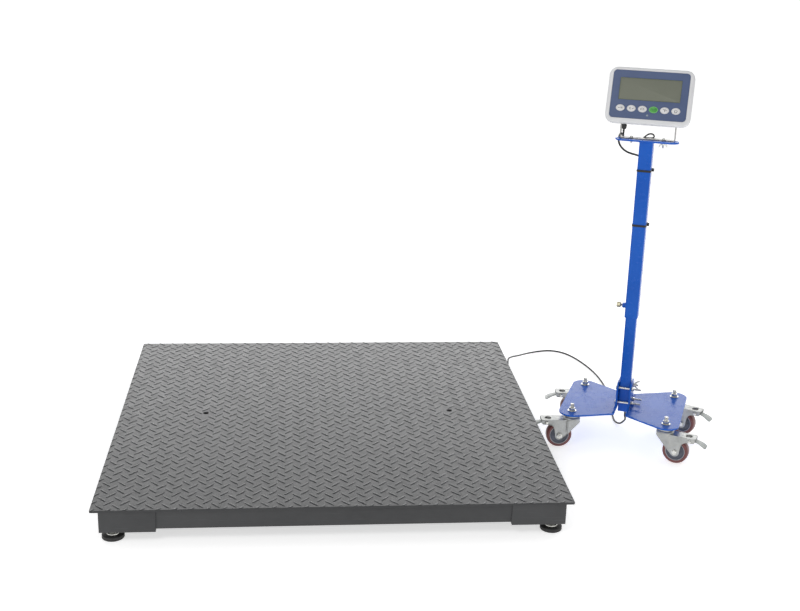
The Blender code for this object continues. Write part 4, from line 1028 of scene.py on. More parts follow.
def make_stand():
    make_wing("base_wing_left_formed", -1)
    make_wing("base_wing_right_formed", 1)
    for tag, y, z, winged in (
        ("front_lower", -0.0195, 0.1230, False), ("rear_lower", 0.0195, 0.1230, False),
        ("front_upper", -0.0195, 0.1690, False), ("rear_upper", 0.0195, 0.1690, True),
    ):
        clamp_bolt(tag, y, z, winged)
    bm = tube("lower", 0.03175, 0.0020, (0.0920, 0.6600), 0.0032, "stand", "lower_column_tube")
    piece("lower_tube_formed", bm, M["blue"], "stand", STAND, "lower_column_tube", sharp=32)
    for tag, (sx, sy, heading) in CASTERS.items():
        place = STAND @ Matrix.Translation((sx * STEM_X, sy * STEM_Y, 0)) @ Matrix.Rotation(0.4 * (sx + 2 * sy), 4, "Z")
        cap = [(0, 0.0856), (0.0050, 0.0856), (0.0050, 0.0963), (0.0218, 0.0963), (0.0226, 0.0968), (0.0233, 0.0985),
               (0.0234, 0.1005), (0.0230, 0.1022), (0.0222, 0.1031), (0.0165, 0.1036), (0.0128, 0.1044),
               (0.0125, 0.1052), (0.0125, 0.1067), (0, 0.1067)]
        piece(f"stem_cap_{tag}", turned(bmesh.new(), cap, 56), M["zinc"], "stand", place, f"caster_stem_{tag}",
              sharp=34)
        piece(f"stem_washer_{tag}", washer(bmesh.new(), 0.0130, 0.0060, 0.1123, 0.1140), M["bright"], "stand", place,
              sharp=30)
        split = washer(bmesh.new(), 0.0092, 0.0060, 0.11405, 0.1156)
        gap = box(bmesh.new(), (0.0, 0.0120), (-0.0005, 0.0005), (0.110, 0.120))
        piece(f"stem_spring_washer_{tag}", split, M["bright"], "stand", place, sharp=30, cut=gap)
        piece(f"stem_nut_{tag}", hex_nut(bmesh.new(), 0.0165, 0.11565, 0.1226, 0.0058), M["bright"], "stand", place,
              sharp=24)
        piece(f"stem_stud_{tag}", thread(bmesh.new(), 0.0057, 0.0016, 0.1066, 0.1345), M["bright"], "stand", place,
              sharp=50)
    # The lower tube's welded seam on its rear face.
    seam = [Vector((0.0, 0.015875 - 0.00020, 0.0960 + 0.290 * i / 60)) for i in range(61)]
    bm = sweep(bmesh.new(), seam, [(0.0011 * math.cos(a), 0.00045 * math.sin(a)) for a in (2 * math.pi * i / 10 for i in range(10))], Vector((0, 1, 0)))
    piece("lower_tube_seam", bm, M["blue"], "stand", STAND, sharp=60)


make_stand()


# ---------------------------------------------------------------- casters
TRAIL, AXLE_Z = 0.0360, 0.0381


def fork_plate():
    """Outline of one side of the pressed yoke, in the caster's (trail, height) plane."""
    plate = [(-0.0205, 0.0880), (-0.0232, 0.0850), (-0.0236, 0.0812), (-0.0222, 0.0770)]
    plate += [(0.0040, 0.0515), (0.0180, 0.0375)]
    for i in range(13):
        a = math.radians(205 + 140 * i / 12)
        plate.append((TRAIL + 0.0135 * math.cos(a), AXLE_Z + 0.0135 * math.sin(a)))
    plate += [(0.0500, 0.0440), (0.0512, 0.0530), (0.0530, 0.0610), (0.0560, 0.0668), (0.0602, 0.0705), (0.0660, 0.0728),
              (0.0730, 0.0738), (0.0850, 0.0742), (0.0890, 0.0752), (0.0908, 0.0780), (0.0915, 0.0880)]
    return plate


def make_caster(tag):
    place = swivel(tag)
    body, wheel_body, pedal_body = f"caster_{tag}", f"wheel_{tag}", f"pedal_{tag}"
    # Yoke: crown and arm pressed from one sheet, with its two sides and the raceway cup.
    crown = [(0.0915, -0.0150), (0.0915, 0.0150), (0.0895, 0.0176), (0.0865, 0.0188), (0.0600, 0.0190)]
    crown += [(0.0255 * math.cos(a), 0.0255 * math.sin(a)) for a in (math.radians(48 + (312 - 48) * i / 44) for i in range(45))]
    crown += [(0.0600, -0.0190), (0.0865, -0.0188), (0.0895, -0.0176)]
    obj = piece(f"fork_crown_{tag}", prism(bmesh.new(), crown, (0.0862, 0.0890)), M["zinc"], None)
    # Each side is flat over the wheel and folds in toward the raceway along an upright crease.
    outline = fork_plate()
    crease, foot = 0.0120, 0.0435
    for v in (-1, 1):
        flat = [(crease, foot)] + outline[5:] + [(crease, 0.0880)]
        carve(obj, prism(bmesh.new(), flat, sorted((v * 0.0160, v * 0.0185)), "y"), "UNION")
        wing = prism(bmesh.new(), outline[:5] + [(crease + 0.0003, foot - 0.0003), (crease + 0.0003, 0.0880)],
                     sorted((v * 0.0160, v * 0.0185)), "y")
        for vert in wing.verts:
            vert.co.y -= v * 0.20 * (crease - vert.co.x)
        carve(obj, wing, "UNION")
    slot = bmesh.new()
    prism(slot, rounded_rect(0.0190, 0.0190, 0.0070, centre=(0.0705, 0), steps=6), (0.0830, 0.0950))
    temp = prism(bmesh.new(), circle(0.0056, 28), (0.0800, 0.1000))
    mesh = bpy.data.meshes.new("temp")
    temp.to_mesh(mesh)
    slot.from_mesh(mesh)
    temp.free()
    carve(obj, slot)
    obj.data.transform(place)
    obj.data.materials.clear()
    obj.data.materials.append(M["zinc"])
    soft = obj.modifiers.new("soft_edges", "BEVEL")
    soft.width, soft.segments = 0.0007, 3
    soft.limit_method, soft.angle_limit = "ANGLE", math.radians(40)
    soft.harden_normals = True
    obj.data.shade_smooth()
    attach(obj, body)
    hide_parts(f"caster_fork_{tag}")
    # Pressed ribs that stiffen each side from the crown down to the axle.
    for v, side in ((-1, "near"), (1, "far")):
        path = [Vector((0.0150, v * 0.01850, 0.0845 - 0.0370 * i / 24)) for i in range(25)]
        bm = sweep(bmesh.new(), path, [(0.0016 * math.cos(a), 0.0008 * math.sin(a)) for a in (2 * math.pi * i / 14 for i in range(14))], Vector((0, 1, 0)))
        for vert in bm.verts:
            along = (0.0845 - vert.co.z) / 0.0370
            fade = math.sin(math.pi * min(max(along, 0.0), 1.0)) ** 0.6
            vert.co.y = v * 0.01845 + (vert.co.y - v * 0.01845) * fade
        piece(f"fork_rib_{side}_{tag}", bm, M["zinc"], body, place, sharp=60)
    cup = [(0.0058, 0.0872), (0.0252, 0.0872), (0.0257, 0.0880), (0.0257, 0.0905), (0.0250, 0.0930), (0.0236, 0.0948),
           (0.0228, 0.0957), (0.0214, 0.0960), (0.0190, 0.0957), (0.0120, 0.0957), (0.0100, 0.0950), (0.0058, 0.0950)]
    piece(f"fork_raceway_{tag}", turned(bmesh.new(), cup, 64, ring=True), M["zinc"], body, place, sharp=36)
    kingpin = [(0, 0.0848), (0.0046, 0.0848), (0.0070, 0.0850), (0.0078, 0.0856), (0.0078, 0.0861), (0, 0.0861)]
    piece(f"fork_rivet_{tag}", turned(bmesh.new(), kingpin, 36), M["zinc"], body, place, sharp=36)
    # Rivet heads where the pedal's pin passes the arm.
    for v, side in ((-1, "near"), (1, "far")):
        at = place @ Matrix.Translation((0.0760, v * 0.0185, 0.0795)) @ (ALONG_Y if v > 0 else ALONG_Y @ Matrix.Rotation(math.pi, 4, "X"))
        head = [(0, -0.0010), (0.0048, -0.0010), (0.0048, 0.0006), (0.0042, 0.0016), (0.0028, 0.0023), (0, 0.0025)]
        piece(f"arm_rivet_{side}_{tag}", turned(bmesh.new(), head, 32, at), M["bright"], body, None, sharp=36)
    # Axle: hexagon head on one side, lock nut and thread end on the other.
    axle = place @ Matrix.Translation((TRAIL, 0, AXLE_Z)) @ ALONG_Y
    bm = turned(bmesh.new(), [(0, -0.0180), (0.0040, -0.0180), (0.0040, 0.0180), (0, 0.0180)], 28)
    piece(f"axle_shank_{tag}", bm, M["bright"], body, axle, sharp=40)
    for side, low in (("near", 0.01855), ("far", 0.01855)):
        turn = axle if side == "far" else axle @ Matrix.Rotation(math.pi, 4, "X")
        piece(f"axle_washer_{side}_{tag}", washer(bmesh.new(), 0.0082, 0.0041, low, low + 0.0010), M["bright"], body, turn,
              sharp=30)
    flip = axle @ Matrix.Rotation(math.pi, 4, "X")
    piece(f"axle_head_{tag}", hex_head(bmesh.new(), 0.0124, 0.0196, 0.0236, flip), M["bright"], body,
          sharp=24)
    piece(f"axle_nut_{tag}", hex_nut(bmesh.new(), 0.0124, 0.0196, 0.0234, 0.0039, axle), M["bright"], body,
          sharp=24)
    piece(f"axle_end_{tag}", thread(bmesh.new(), 0.0039, 0.0010, 0.0175, 0.0239, axle, 24, tip="high"), M["bright"], body,
          sharp=50)

    # Wheel: moulded tyre on a two-piece hub.
    spin = place @ Matrix.Translation((TRAIL, 0, AXLE_Z)) @ ALONG_Y
    tyre = [(0.0286, -0.0121), (0.0300, -0.0125), (0.0336, -0.0125), (0.0352, -0.0121), (0.0366, -0.0111), (0.0375, -0.0095),
            (0.0379, -0.0070), (0.0381, -0.0035), (0.0381, 0.0035), (0.0379, 0.0070), (0.0375, 0.0095), (0.0366, 0.0111),
            (0.0352, 0.0121), (0.0336, 0.0125), (0.0300, 0.0125), (0.0286, 0.0121), (0.0284, 0.0100), (0.0284, -0.0100)]
    piece(f"tyre_{tag}", turned(bmesh.new(), tyre, 96, spin, ring=True), M["tyre"], wheel_body, None, f"caster_wheel_{tag}",
          sharp=38)
    for sign, side in ((-1, "near"), (1, "far")):
        lip = [(0.0268, sign * 0.0100), (0.0268, sign * 0.0119), (0.0273, sign * 0.0124), (0.0280, sign * 0.0125),
               (0.0285, sign * 0.0122), (0.0285, sign * 0.0100)]
        piece(f"wheel_lip_{side}_{tag}", turned(bmesh.new(), lip, 96, spin, ring=True), M["hub_lip"], wheel_body,
              sharp=38)

    def web(a, r, z):
        return r

    hub = [(0.0048, -0.0148), (0.0112, -0.0148), (0.0120, -0.0143), (0.0124, -0.0120), (0.0132, -0.0100), (0.0150, -0.0086),
           (0.0175, -0.0080), (0.0225, -0.0080), (0.0245, -0.0086), (0.0260, -0.0102), (0.0269, -0.0104), (0.0283, -0.0104),
           (0.0283, 0.0104), (0.0269, 0.0104), (0.0260, 0.0102), (0.0245, 0.0086), (0.0225, 0.0080), (0.0175, 0.0080),
           (0.0150, 0.0086), (0.0132, 0.0100), (0.0124, 0.0120), (0.0120, 0.0143), (0.0112, 0.0148), (0.0048, 0.0148)]
    piece(f"wheel_hub_{tag}", turned(bmesh.new(), hub, 96, spin, ring=True), M["hub"], wheel_body,
          sharp=38)
    for k in range(10):
        a = 2 * math.pi * k / 10
        for sign, side in ((-1, "n"), (1, "f")):
            rib = bmesh.new()
            box(rib, (0.0140, 0.0256), (-0.00075, 0.00075), sorted((sign * 0.0078, sign * 0.0093)))
            piece(f"hub_rib_{side}{k}_{tag}", rib, M["hub"], wheel_body, spin @ Matrix.Rotation(a, 4, "Z"),
                  bevel=0.0003) if k % 2 == 0 else rib.free()
    bush = [(0.0043, -0.0152), (0.0072, -0.0152), (0.0074, -0.0150), (0.0074, -0.0146), (0.0043, -0.0146)]
    for sign, side in ((-1, "near"), (1, "far")):
        bm = turned(bmesh.new(), [(r, -z * sign) for r, z in bush], 48, spin, ring=True)
        piece(f"wheel_bush_{side}_{tag}", bm, M["bright"], wheel_body, sharp=36)

    # Brake pedal: a curved pressed tongue with a raised grip at its end, on its pin.
    at = place @ Matrix.Translation((0.0760, 0, 0.0795))
    upper_line = [(-0.0060, 0.0018), (-0.0010, 0.0022), (0.0040, 0.0022), (0.0100, 0.0015), (0.0180, 0.0002), (0.0250, -0.0020),
                  (0.0310, -0.0043), (0.0370, -0.0074), (0.0420, -0.0104), (0.0460, -0.0132), (0.0478, -0.0145)]
    half_width = [0.0118, 0.0122, 0.0124, 0.0122, 0.0116, 0.0124, 0.0142, 0.0154, 0.0156, 0.0146, 0.0112]
    loops = []
    for i, ((u, w), half) in enumerate(zip(upper_line, half_width)):
        a = upper_line[max(i - 1, 0)]
        b = upper_line[min(i + 1, len(upper_line) - 1)]
        t = Vector((b[0] - a[0], 0, b[1] - a[1])).normalized()
        n = Vector((-t.z, 0, t.x))
        thick = 0.0022 if i < 9 else 0.0018
        loop = []
        for k in range(13):
            s = -1 + 2 * k / 12
            loop.append(Vector((u, half * s, w)) - n * (0.0010 * abs(s) ** 4))
        for k in range(13):
            s = 1 - 2 * k / 12
            loop.append(Vector((u, half * s, w)) - n * (thick + 0.0010 * abs(s) ** 4))
        loops.append(loop)
    bm = loft(bmesh.new(), loops)
    obj = piece(f"pedal_tongue_{tag}", bm, M["pedal"], pedal_body, at, f"brake_pedal_{tag}", bevel=0.0005, sharp=40)
    for k in range(4):
        u = 0.0318 + 0.0040 * k
        w = -0.0046 - 0.00205 * k - 0.0001 * k * k
        path = [Vector((u, -0.0095 + 0.0190 * i / 10, w - 0.0004 - 0.0007 * abs(-1 + 2 * i / 10) ** 4)) for i in range(11)]
        bm = sweep(bmesh.new(), path, [(0.0008 * math.cos(a), 0.0008 * math.sin(a)) for a in (2 * math.pi * i / 10 for i in range(10))])
        piece(f"pedal_grip_{k + 1}_{tag}", bm, M["pedal"], pedal_body, at, sharp=50)
    pin = at @ ALONG_Y
    bm = turned(bmesh.new(), [(0, -0.0157), (0.0027, -0.0157), (0.0031, -0.0153), (0.0031, 0.0153), (0.0027, 0.0157), (0, 0.0157)], 28)
    piece(f"pedal_pin_{tag}", bm, M["bright"], pedal_body, pin, sharp=34)


for tag in CASTERS:
    make_caster(tag)


# ---------------------------------------------------------------- column: outer tube, plate, bracket, ties
def make_column():
    bm = tube("upper", 0.0381, 0.0025, (0.3900, 0.9122), 0.0036, "column", "upper_column_tube")
    cut = prism(bmesh.new(), circle(0.0034, 24, (0, 0.4225)), (-0.0300, -0.0100), "x")
    piece("upper_tube_formed", bm, M["blue"], "column", STAND, "upper_column_tube", sharp=32, cut=cut)
    outline = hull(circle(0.0225, 72, (-0.0670, 0)) + circle(0.0225, 72, (0.0670, 0)))
    plate = prism(bmesh.new(), outline, (0.9121, 0.9170))
    holes = []
    for side in (-1, 1):
        holes.append(prism(bmesh.new(), circle(0.0045, 32, (side * 0.0800, 0)), (0.90, 0.93)))
        holes.append(prism(bmesh.new(), circle(0.0034, 28, (side * 0.0450, 0.0060)), (0.90, 0.93)))
    piece("top_plate", plate, M["blue"], "column", STAND, bevel=0.0007, cut=holes)
    # Fillet weld between the tube and its plate.
    path = [Vector((x, y, 0.91175)) for x, y in rounded_rect(0.0387, 0.0387, 0.0040, steps=5)]
    path.append(path[0])
    fine = []
    for a, b in zip(path, path[1:]):
        n = max(1, int((b - a).length / 0.0009))
        fine += [a.lerp(b, i / n) for i in range(n)]
    fine.append(path[0])
    bm = sweep(bmesh.new(), fine, circle(0.0016, 10), Vector((0, 0, 1)))
    piece("plate_weld", bm, M["blue"], "column", STAND, sharp=60)
    # Hexagon boss welded on the left face, and the clamp screw in it.
    left = STAND @ Matrix.Translation((0, 0, 0.4225)) @ ALONG_X
    bm = hex_nut(bmesh.new(), 0.0139, -0.0294, -0.0186, 0.0034, left)
    piece("clamp_boss", bm, M["blue"], "column", sharp=24)
    screw = STAND @ Matrix.Translation((-0.0300, 0, 0.4225)) @ ALONG_X
    piece("clamp_screw_thread", thread(bmesh.new(), 0.00300, 0.0010, -0.0040, 0.0139, screw, 24), M["brass"], "clamp_screw",
          None, "clamp_screw", sharp=50)

    def knurl(a, r, z):
        return r - 0.00035 * (0.5 + 0.5 * math.cos(26 * a)) if r > 0.0070 and -0.0145 < z < -0.0058 else r

    head = [(0, -0.0030), (0.0046, -0.0030), (0.0056, -0.0036), (0.0062, -0.0046), (0.0080, -0.0056), (0.0080, -0.0062),
            (0.0080, -0.0138), (0.0078, -0.0146), (0.0070, -0.0156), (0.0056, -0.0163), (0.0030, -0.0165), (0, -0.0165)]
    piece("clamp_screw_head", turned(bmesh.new(), head, 104, screw, radius_at=knurl), M["brass"], "clamp_screw",
          sharp=34)

    # Cable ties: ribbed strap, head on the right, cut tail.
    half = 0.0381 / 2
    y_back = half + GAP + 2 * CORD_R + 2 * GAP
    for tag, z in (("lower", 0.6700), ("upper", 0.8300)):
        centre_y = (y_back - half - GAP) / 2
        width, depth = 2 * (half + GAP), half + GAP + y_back
        rows = []
        outline_in = rounded_rect(width, depth, 0.0036, centre=(0, centre_y), steps=8)
        outline_out = rounded_rect(width + 0.0024, depth + 0.0024, 0.0048, centre=(0, centre_y), steps=8)
        bm = bmesh.new()
        for outline, h in ((outline_in, -0.0032), (outline_out, -0.0028), (outline_out, 0.0028), (outline_in, 0.0032)):
            rows.append([bm.verts.new((x, y, z + h)) for x, y in outline])
        for low, high in zip(rows, rows[1:] + rows[:1]):
            for i in range(len(low)):
                j = (i + 1) % len(low)
                bm.faces.new((low[i], low[j], high[j], high[i]))
        piece(f"tie_{tag}_strap", bm, M["plastic"], "column", STAND, f"cable_tie_{tag}", sharp=40)
        bm = bmesh.new()
        box(bm, (half + 0.0006, half + 0.0065), (0.0078, 0.0150), (z - 0.0042, z + 0.0042))
        hole = box(bmesh.new(), (half + 0.0016, half + 0.0032), (0.0060, 0.0170), (z - 0.0032, z + 0.0032))
        piece(f"tie_{tag}_head", bm, M["plastic"], "column", STAND, bevel=0.0005, cut=hole)
        tail = bmesh.new()
        box(tail, (half + 0.0018, half + 0.0030), (0.0066, 0.0178), (z - 0.0030, z + 0.0030))
        piece(f"tie_{tag}_tail", tail, M["plastic"], "column", STAND, bevel=0.0003)
        ridges = bmesh.new()
        for k in range(22):
            y = -0.0150 + 0.0022 * k
            if y < 0.0265:
                box(ridges, (-half - 0.00155, -half - 0.0012), (y, y + 0.0010), (z - 0.0024, z + 0.0024))
        piece(f"tie_{tag}_ridges", ridges, M["plastic"], "column", STAND, sharp=40)

    # Indicator bracket: one bent strap with rounded ears.
    strap_half, thick, bend = 0.0120, 0.0020, 0.0035
    outer_x, base, pivot = 0.0773, 0.9173, 1.0300
    def section(offset):
        r = bend - offset
        xs = outer_x - offset
        line = [(xs, pivot + 0.0120)]
        line += [(xs - r + r * math.cos(a), base + offset + r - r * math.sin(a)) for a in (math.pi / 2 * i / 8 for i in range(9))]
        return line
    outside = section(0.0)
    inside = section(thick)
    profile = outside + [(-x, z) for x, z in outside[::-1]] + [(-x, z) for x, z in inside] + inside[::-1]
    obj_bm = prism(bmesh.new(), profile, (0.0060 - strap_half, 0.0060 + strap_half), "y")
    trims = []
    for sy in (-1, 1):
        corner = [(0.0060 + sy * 0.0140, pivot)]
        corner = [(0.0060 + sy * strap_half, pivot)]
        for i in range(1, 13):
            a = math.pi / 2 * i / 12
            corner.append((0.0060 + sy * strap_half * math.cos(a), pivot + strap_half * math.sin(a)))
        corner += [(0.0060, pivot + 0.0200), (0.0060 + sy * 0.0200, pivot + 0.0200), (0.0060 + sy * 0.0200, pivot)]
        trims.append(prism(bmesh.new(), corner, (-0.1, 0.1), "x"))
    trims.append(prism(bmesh.new(), circle(0.0034, 28, (0.0060, pivot)), (-0.1, 0.1), "x"))
    for side in (-1, 1):
        trims.append(prism(bmesh.new(), circle(0.0034, 28, (side * 0.0450, 0.0060)), (0.90, 0.93)))
        trims.append(prism(bmesh.new(), rounded_rect(0.0140, 0.0062, 0.0030, centre=(side * 0.0260, 0.0060), steps=6), (0.90, 0.93)))
    piece("bracket_strap", obj_bm, M["steel"], "column", STAND, "indicator_bracket", bevel=0.0004, cut=trims)
    # Its two screws: the left one with a small nut below, the right one with a wing nut.
    for side, tag in ((-1, "left"), (1, "right")):
        at = STAND @ Matrix.Translation((side * 0.0450, 0.0060, 0))
        piece(f"bracket_washer_{tag}", washer(bmesh.new(), 0.0072, 0.0031, 0.91935, 0.92045), M["bright"], "column", at,
              sharp=30)
        dome = [(0, 0.9205), (0.0056, 0.9205), (0.0056, 0.9212), (0.0050, 0.9224), (0.0036, 0.9233), (0.0016, 0.9238), (0, 0.9238)]
        cross = bmesh.new()
        box(cross, (-0.0026, 0.0026), (-0.0005, 0.0005), (0.9224, 0.9260))
        cross_b = box(bmesh.new(), (-0.0005, 0.0005), (-0.0026, 0.0026), (0.9224, 0.9260))
        piece(f"bracket_screw_{tag}", turned(bmesh.new(), dome, 40), M["bright"], "column", at,
              sharp=34, cut=[cross, cross_b])
        piece(f"bracket_under_washer_{tag}", washer(bmesh.new(), 0.0068, 0.0031, 0.9109, 0.9120), M["bright"], "column", at,
              sharp=30)
        if side < 0:
            piece("bracket_nut_left", hex_nut(bmesh.new(), 0.0088, 0.9066, 0.9108, 0.0030), M["bright"], "column", at,
                  sharp=24)
            piece("bracket_end_left", thread(bmesh.new(), 0.0029, 0.0010, 0.9040, 0.9206, sides=24), M["bright"], "column",
                  at, sharp=50)
        else:
            piece("bracket_end_right", thread(bmesh.new(), 0.0029, 0.0010, 0.8950, 0.9206, sides=24), M["bright"],
                  "column", at, sharp=50)
            turn = at @ Matrix.Rotation(math.radians(20), 4, "Z")
            bm = turned(bmesh.new(), [(0.0031, 0.9040), (0.0040, 0.9036), (0.0052, 0.9044), (0.0056, 0.9107), (0.0031, 0.9107)], 36, ring=True)
            piece("bracket_wing_hub", bm, M["bright"], "column", turn, sharp=35)
            for sx in (-1, 1):
                leaf = [(0.0036, 0.9100), (0.0082, 0.9088), (0.0118, 0.9040), (0.0132, 0.8990), (0.0128, 0.8966), (0.0112, 0.8962),
                        (0.0094, 0.8982), (0.0066, 0.9024), (0.0036, 0.9046)]
                bm = prism(bmesh.new(), [(sx * a, b) for a, b in leaf], (-0.0011, 0.0011), "y")
                piece(f"bracket_wing_{'a' if sx < 0 else 'b'}", bm, M["bright"], "column", turn,
                      bevel=0.0004)
    # Hanging loop of black strap, its ends pinched under the bracket's rear edge.
    points = [(-0.0120, 0.0200, 0.9186), (-0.0100, 0.0226, 0.9206), (-0.0048, 0.0262, 0.9252), (0.0030, 0.0280, 0.9292),
              (0.0105, 0.0282, 0.9290), (0.0150, 0.0268, 0.9258), (0.0160, 0.0246, 0.9222), (0.0128, 0.0216, 0.9198),
              (0.0060, 0.0204, 0.9190), (-0.0040, 0.0204, 0.9188), (-0.0110, 0.0210, 0.9187)]
    path = smooth_route(points, 60)
    section_loop = [(0.0022 * math.copysign(abs(math.cos(a)) ** 0.7, math.cos(a)), 0.0015 * math.copysign(abs(math.sin(a)) ** 0.7, math.sin(a)))
                    for a in (2 * math.pi * i / 14 for i in range(14))]
    bm = sweep(bmesh.new(), path, section_loop, Vector((0, 1, 0)))
    piece("strap_loop", bm, M["plastic"], "column", STAND, sharp=60)


make_column()


# ---------------------------------------------------------------- indicator
CASE_W, CASE_H, CASE_R = 0.2360, 0.1570, 0.0240
HUMP_W, HUMP_H = 0.1500, 0.1100
FRONT_Y, SPLIT_Y, BACK_Y, HUMP_Y = -0.0465, -0.0300, -0.0150, 0.0160
PANEL_UP, WINDOW_UP, KEY_UP = 0.0020, 0.0175, -0.0370


def rim(width, height, radius, inset, y, centre=(0, 0), steps=12):
    return [(x, y, z) for x, z in rounded_rect(width, height, radius, inset, centre, steps)]


def make_indicator():
    # Front bezel: a soft pillowed rim round the recessed overlay, hollow behind.
    outer = [(0.0000, SPLIT_Y + 0.0000), (0.0000, FRONT_Y + 0.0090)]
    for i in range(1, 9):
        a = math.pi / 2 * i / 8
        outer.append((0.0062 * (1 - math.cos(a)), FRONT_Y + 0.0090 - 0.0087 * math.sin(a)))
    bm = bmesh.new()
    rows = [rim(CASE_W, CASE_H, CASE_R, inset, y) for inset, y in outer]
    rows.append(rim(0.2124, 0.1354, 0.0112, 0.0, FRONT_Y + 0.0000, (0, PANEL_UP)))
    rows.append(rim(0.2112, 0.1342, 0.0106, 0.0, FRONT_Y + 0.0006, (0, PANEL_UP)))
    rows.append(rim(0.2108, 0.1338, 0.0104, 0.0, FRONT_Y + 0.0024, (0, PANEL_UP)))
    rows.append(rim(0.1960, 0.1190, 0.0060, 0.0, FRONT_Y + 0.0025, (0, PANEL_UP)))
    rows.append(rim(0.1960, 0.1190, 0.0060, 0.0, FRONT_Y + 0.0055, (0, PANEL_UP)))
    rows.append(rim(0.2290, 0.1500, 0.0205, 0.0, FRONT_Y + 0.0060))
    rows.append(rim(0.2290, 0.1500, 0.0205, 0.0, SPLIT_Y))
    verts = [[bm.verts.new(p) for p in row] for row in rows]
    for low, high in zip(verts, verts[1:] + verts[:1]):
        for i in range(len(low)):
            j = (i + 1) % len(low)
            bm.faces.new((low[i], low[j], high[j], high[i]))
    piece("bezel", bm, M["housing"], "indicator", CASE, "front_case", sharp=38)

    # Rear shell: draft on its sides, a shadow gap at the seam, the raised battery and board hump, ribs and screws.
    bm = bmesh.new()
    outer = [(0.0008, SPLIT_Y + GAP), (0.0008, SPLIT_Y + 0.0011), (0.0000, SPLIT_Y + 0.0014), (0.0010, BACK_Y - 0.0060)]
    for i in range(1, 8):
        a = math.pi / 2 * i / 7
        outer.append((0.0010 + 0.0060 * (1 - math.cos(a)), BACK_Y - 0.0060 + 0.0060 * math.sin(a)))
    rows = [rim(CASE_W, CASE_H, CASE_R, inset, y) for inset, y in outer]
    rows.append(rim(0.1540, 0.1140, 0.0120, 0.0, BACK_Y + 0.0001))
    for i in range(1, 6):
        a = math.pi / 2 * i / 5
        rows.append(rim(0.1540, 0.1140, 0.0120, 0.0020 * math.sin(a), BACK_Y + 0.0020 * (1 - math.cos(a))))
    rows.append(rim(HUMP_W, HUMP_H, 0.0100, 0.0003, HUMP_Y - 0.0040))
    for i in range(1, 7):
        a = math.pi / 2 * i / 6
        rows.append(rim(HUMP_W, HUMP_H, 0.0100, 0.0003 + 0.0034 * (1 - math.cos(a)), HUMP_Y - 0.0040 + 0.0040 * math.sin(a)))
    count = len(rows[0])
    verts = [[bm.verts.new(p) for p in row] for row in rows]
    for low, high in zip(verts, verts[1:]):
        for i in range(count):
            j = (i + 1) % count
            bm.faces.new((low[i], low[j], high[j], high[i]))
    bm.faces.new(verts[-1])
    inner = [rim(0.2270, 0.1480, 0.0185, 0.0, SPLIT_Y + GAP), rim(0.2250, 0.1460, 0.0175, 0.0, BACK_Y - 0.0030)]
    inner_verts = [[bm.verts.new(p) for p in row] for row in inner]
    for i in range(count):
        j = (i + 1) % count
        bm.faces.new((verts[0][i], verts[0][j], inner_verts[0][j], inner_verts[0][i]))
        bm.faces.new((inner_verts[0][i], inner_verts[0][j], inner_verts[1][j], inner_verts[1][i]))
    bm.faces.new(inner_verts[1])
    cutters = [prism(bmesh.new(), rounded_rect(0.0620, 0.0380, 0.0030, centre=(0, -0.0220), steps=5), (HUMP_Y - 0.0006, HUMP_Y + 0.01), "y")]
    lid_gap = prism(bmesh.new(), circle(0.0052, 32, (-0.0620, -0.0220)), (-0.0900, -0.0720), "z")
    cutters.append(lid_gap)
    for k in range(7):
        cutters.append(prism(bmesh.new(), rounded_rect(0.0300, 0.0016, 0.0008, centre=(0.0, 0.0240 + 0.0036 * k), steps=4), (HUMP_Y - 0.0010, HUMP_Y + 0.01), "y"))
    for dx, dz in ((-1, -1), (1, -1), (1, 1), (-1, 1)):
        cutters.append(prism(bmesh.new(), circle(0.0036, 28, (dx * 0.0960, dz * 0.0600)), (BACK_Y - 0.0012, BACK_Y + 0.01), "y"))
    merged = cutters[0]
    for other in cutters[1:]:
        temp = bpy.data.meshes.new("temp")
        other.to_mesh(temp)
        merged.from_mesh(temp)
        other.free()
    piece("rear_shell", bm, M["housing"], "indicator", CASE, "rear_case", sharp=38, cut=merged)
    # Battery door with a thumb recess, and screws in the corner wells.
    door = loft(bmesh.new(), [[(x, y, z) for x, z in rounded_rect(0.0612, 0.0372, 0.0028, inset, (0, -0.0220), 5)]
                              for inset, y in ((0, HUMP_Y - 0.00055), (0, HUMP_Y - 0.0001), (0.0004, HUMP_Y + 0.0003))])
    thumb = prism(bmesh.new(), rounded_rect(0.0160, 0.0050, 0.0024, centre=(0, -0.0085), steps=6), (HUMP_Y - 0.0001, HUMP_Y + 0.01), "y")
    piece("battery_door", door, M["housing"], "indicator", CASE, None, sharp=36, cut=thumb)
    # A black rubber ring in the gap round the battery door: painted shade, a dark ring that makes the seam read dark.
    gap_shade_ring = bmesh.new()
    ring_rows = []
    for grow, y in ((-0.00010, HUMP_Y - 0.00055), (0.00045, HUMP_Y - 0.00055), (0.00045, HUMP_Y - 0.00012), (-0.00010, HUMP_Y - 0.00012)):
        ring_rows.append([gap_shade_ring.verts.new((x, y, z)) for x, z in rounded_rect(0.0612, 0.0372, 0.0028, -grow, (0, -0.0220), 5)])
    for low, high in zip(ring_rows, ring_rows[1:] + ring_rows[:1]):
        for i in range(len(low)):
            j = (i + 1) % len(low)
            gap_shade_ring.faces.new((low[i], low[j], high[j], high[i]))
    piece("door_gap_shade", gap_shade_ring, M["rubber"], "indicator", CASE, sharp=40)
    # Dark bars at the bottoms of the vent slots: painted shade, dark sheets set where the slots would show only shadow.
    for k in range(7):
        bm = prism(bmesh.new(), rounded_rect(0.0297, 0.0013, 0.0006, centre=(0.0, 0.0240 + 0.0036 * k), steps=4),
                   (HUMP_Y - 0.00105, HUMP_Y - 0.00070), "y")
        piece(f"vent_shade_bar_{k + 1}", bm, M["plastic"], "indicator", CASE, bevel=0.0001)
    for i, (dx, dz) in enumerate(((-1, -1), (1, -1), (1, 1), (-1, 1)), 1):
        at = CASE @ Matrix.Translation((dx * 0.0960, BACK_Y - 0.0012, dz * 0.0600)) @ Matrix.Rotation(-math.pi / 2, 4, "X") @ Matrix.Rotation(0.5 * i, 4, "Z")
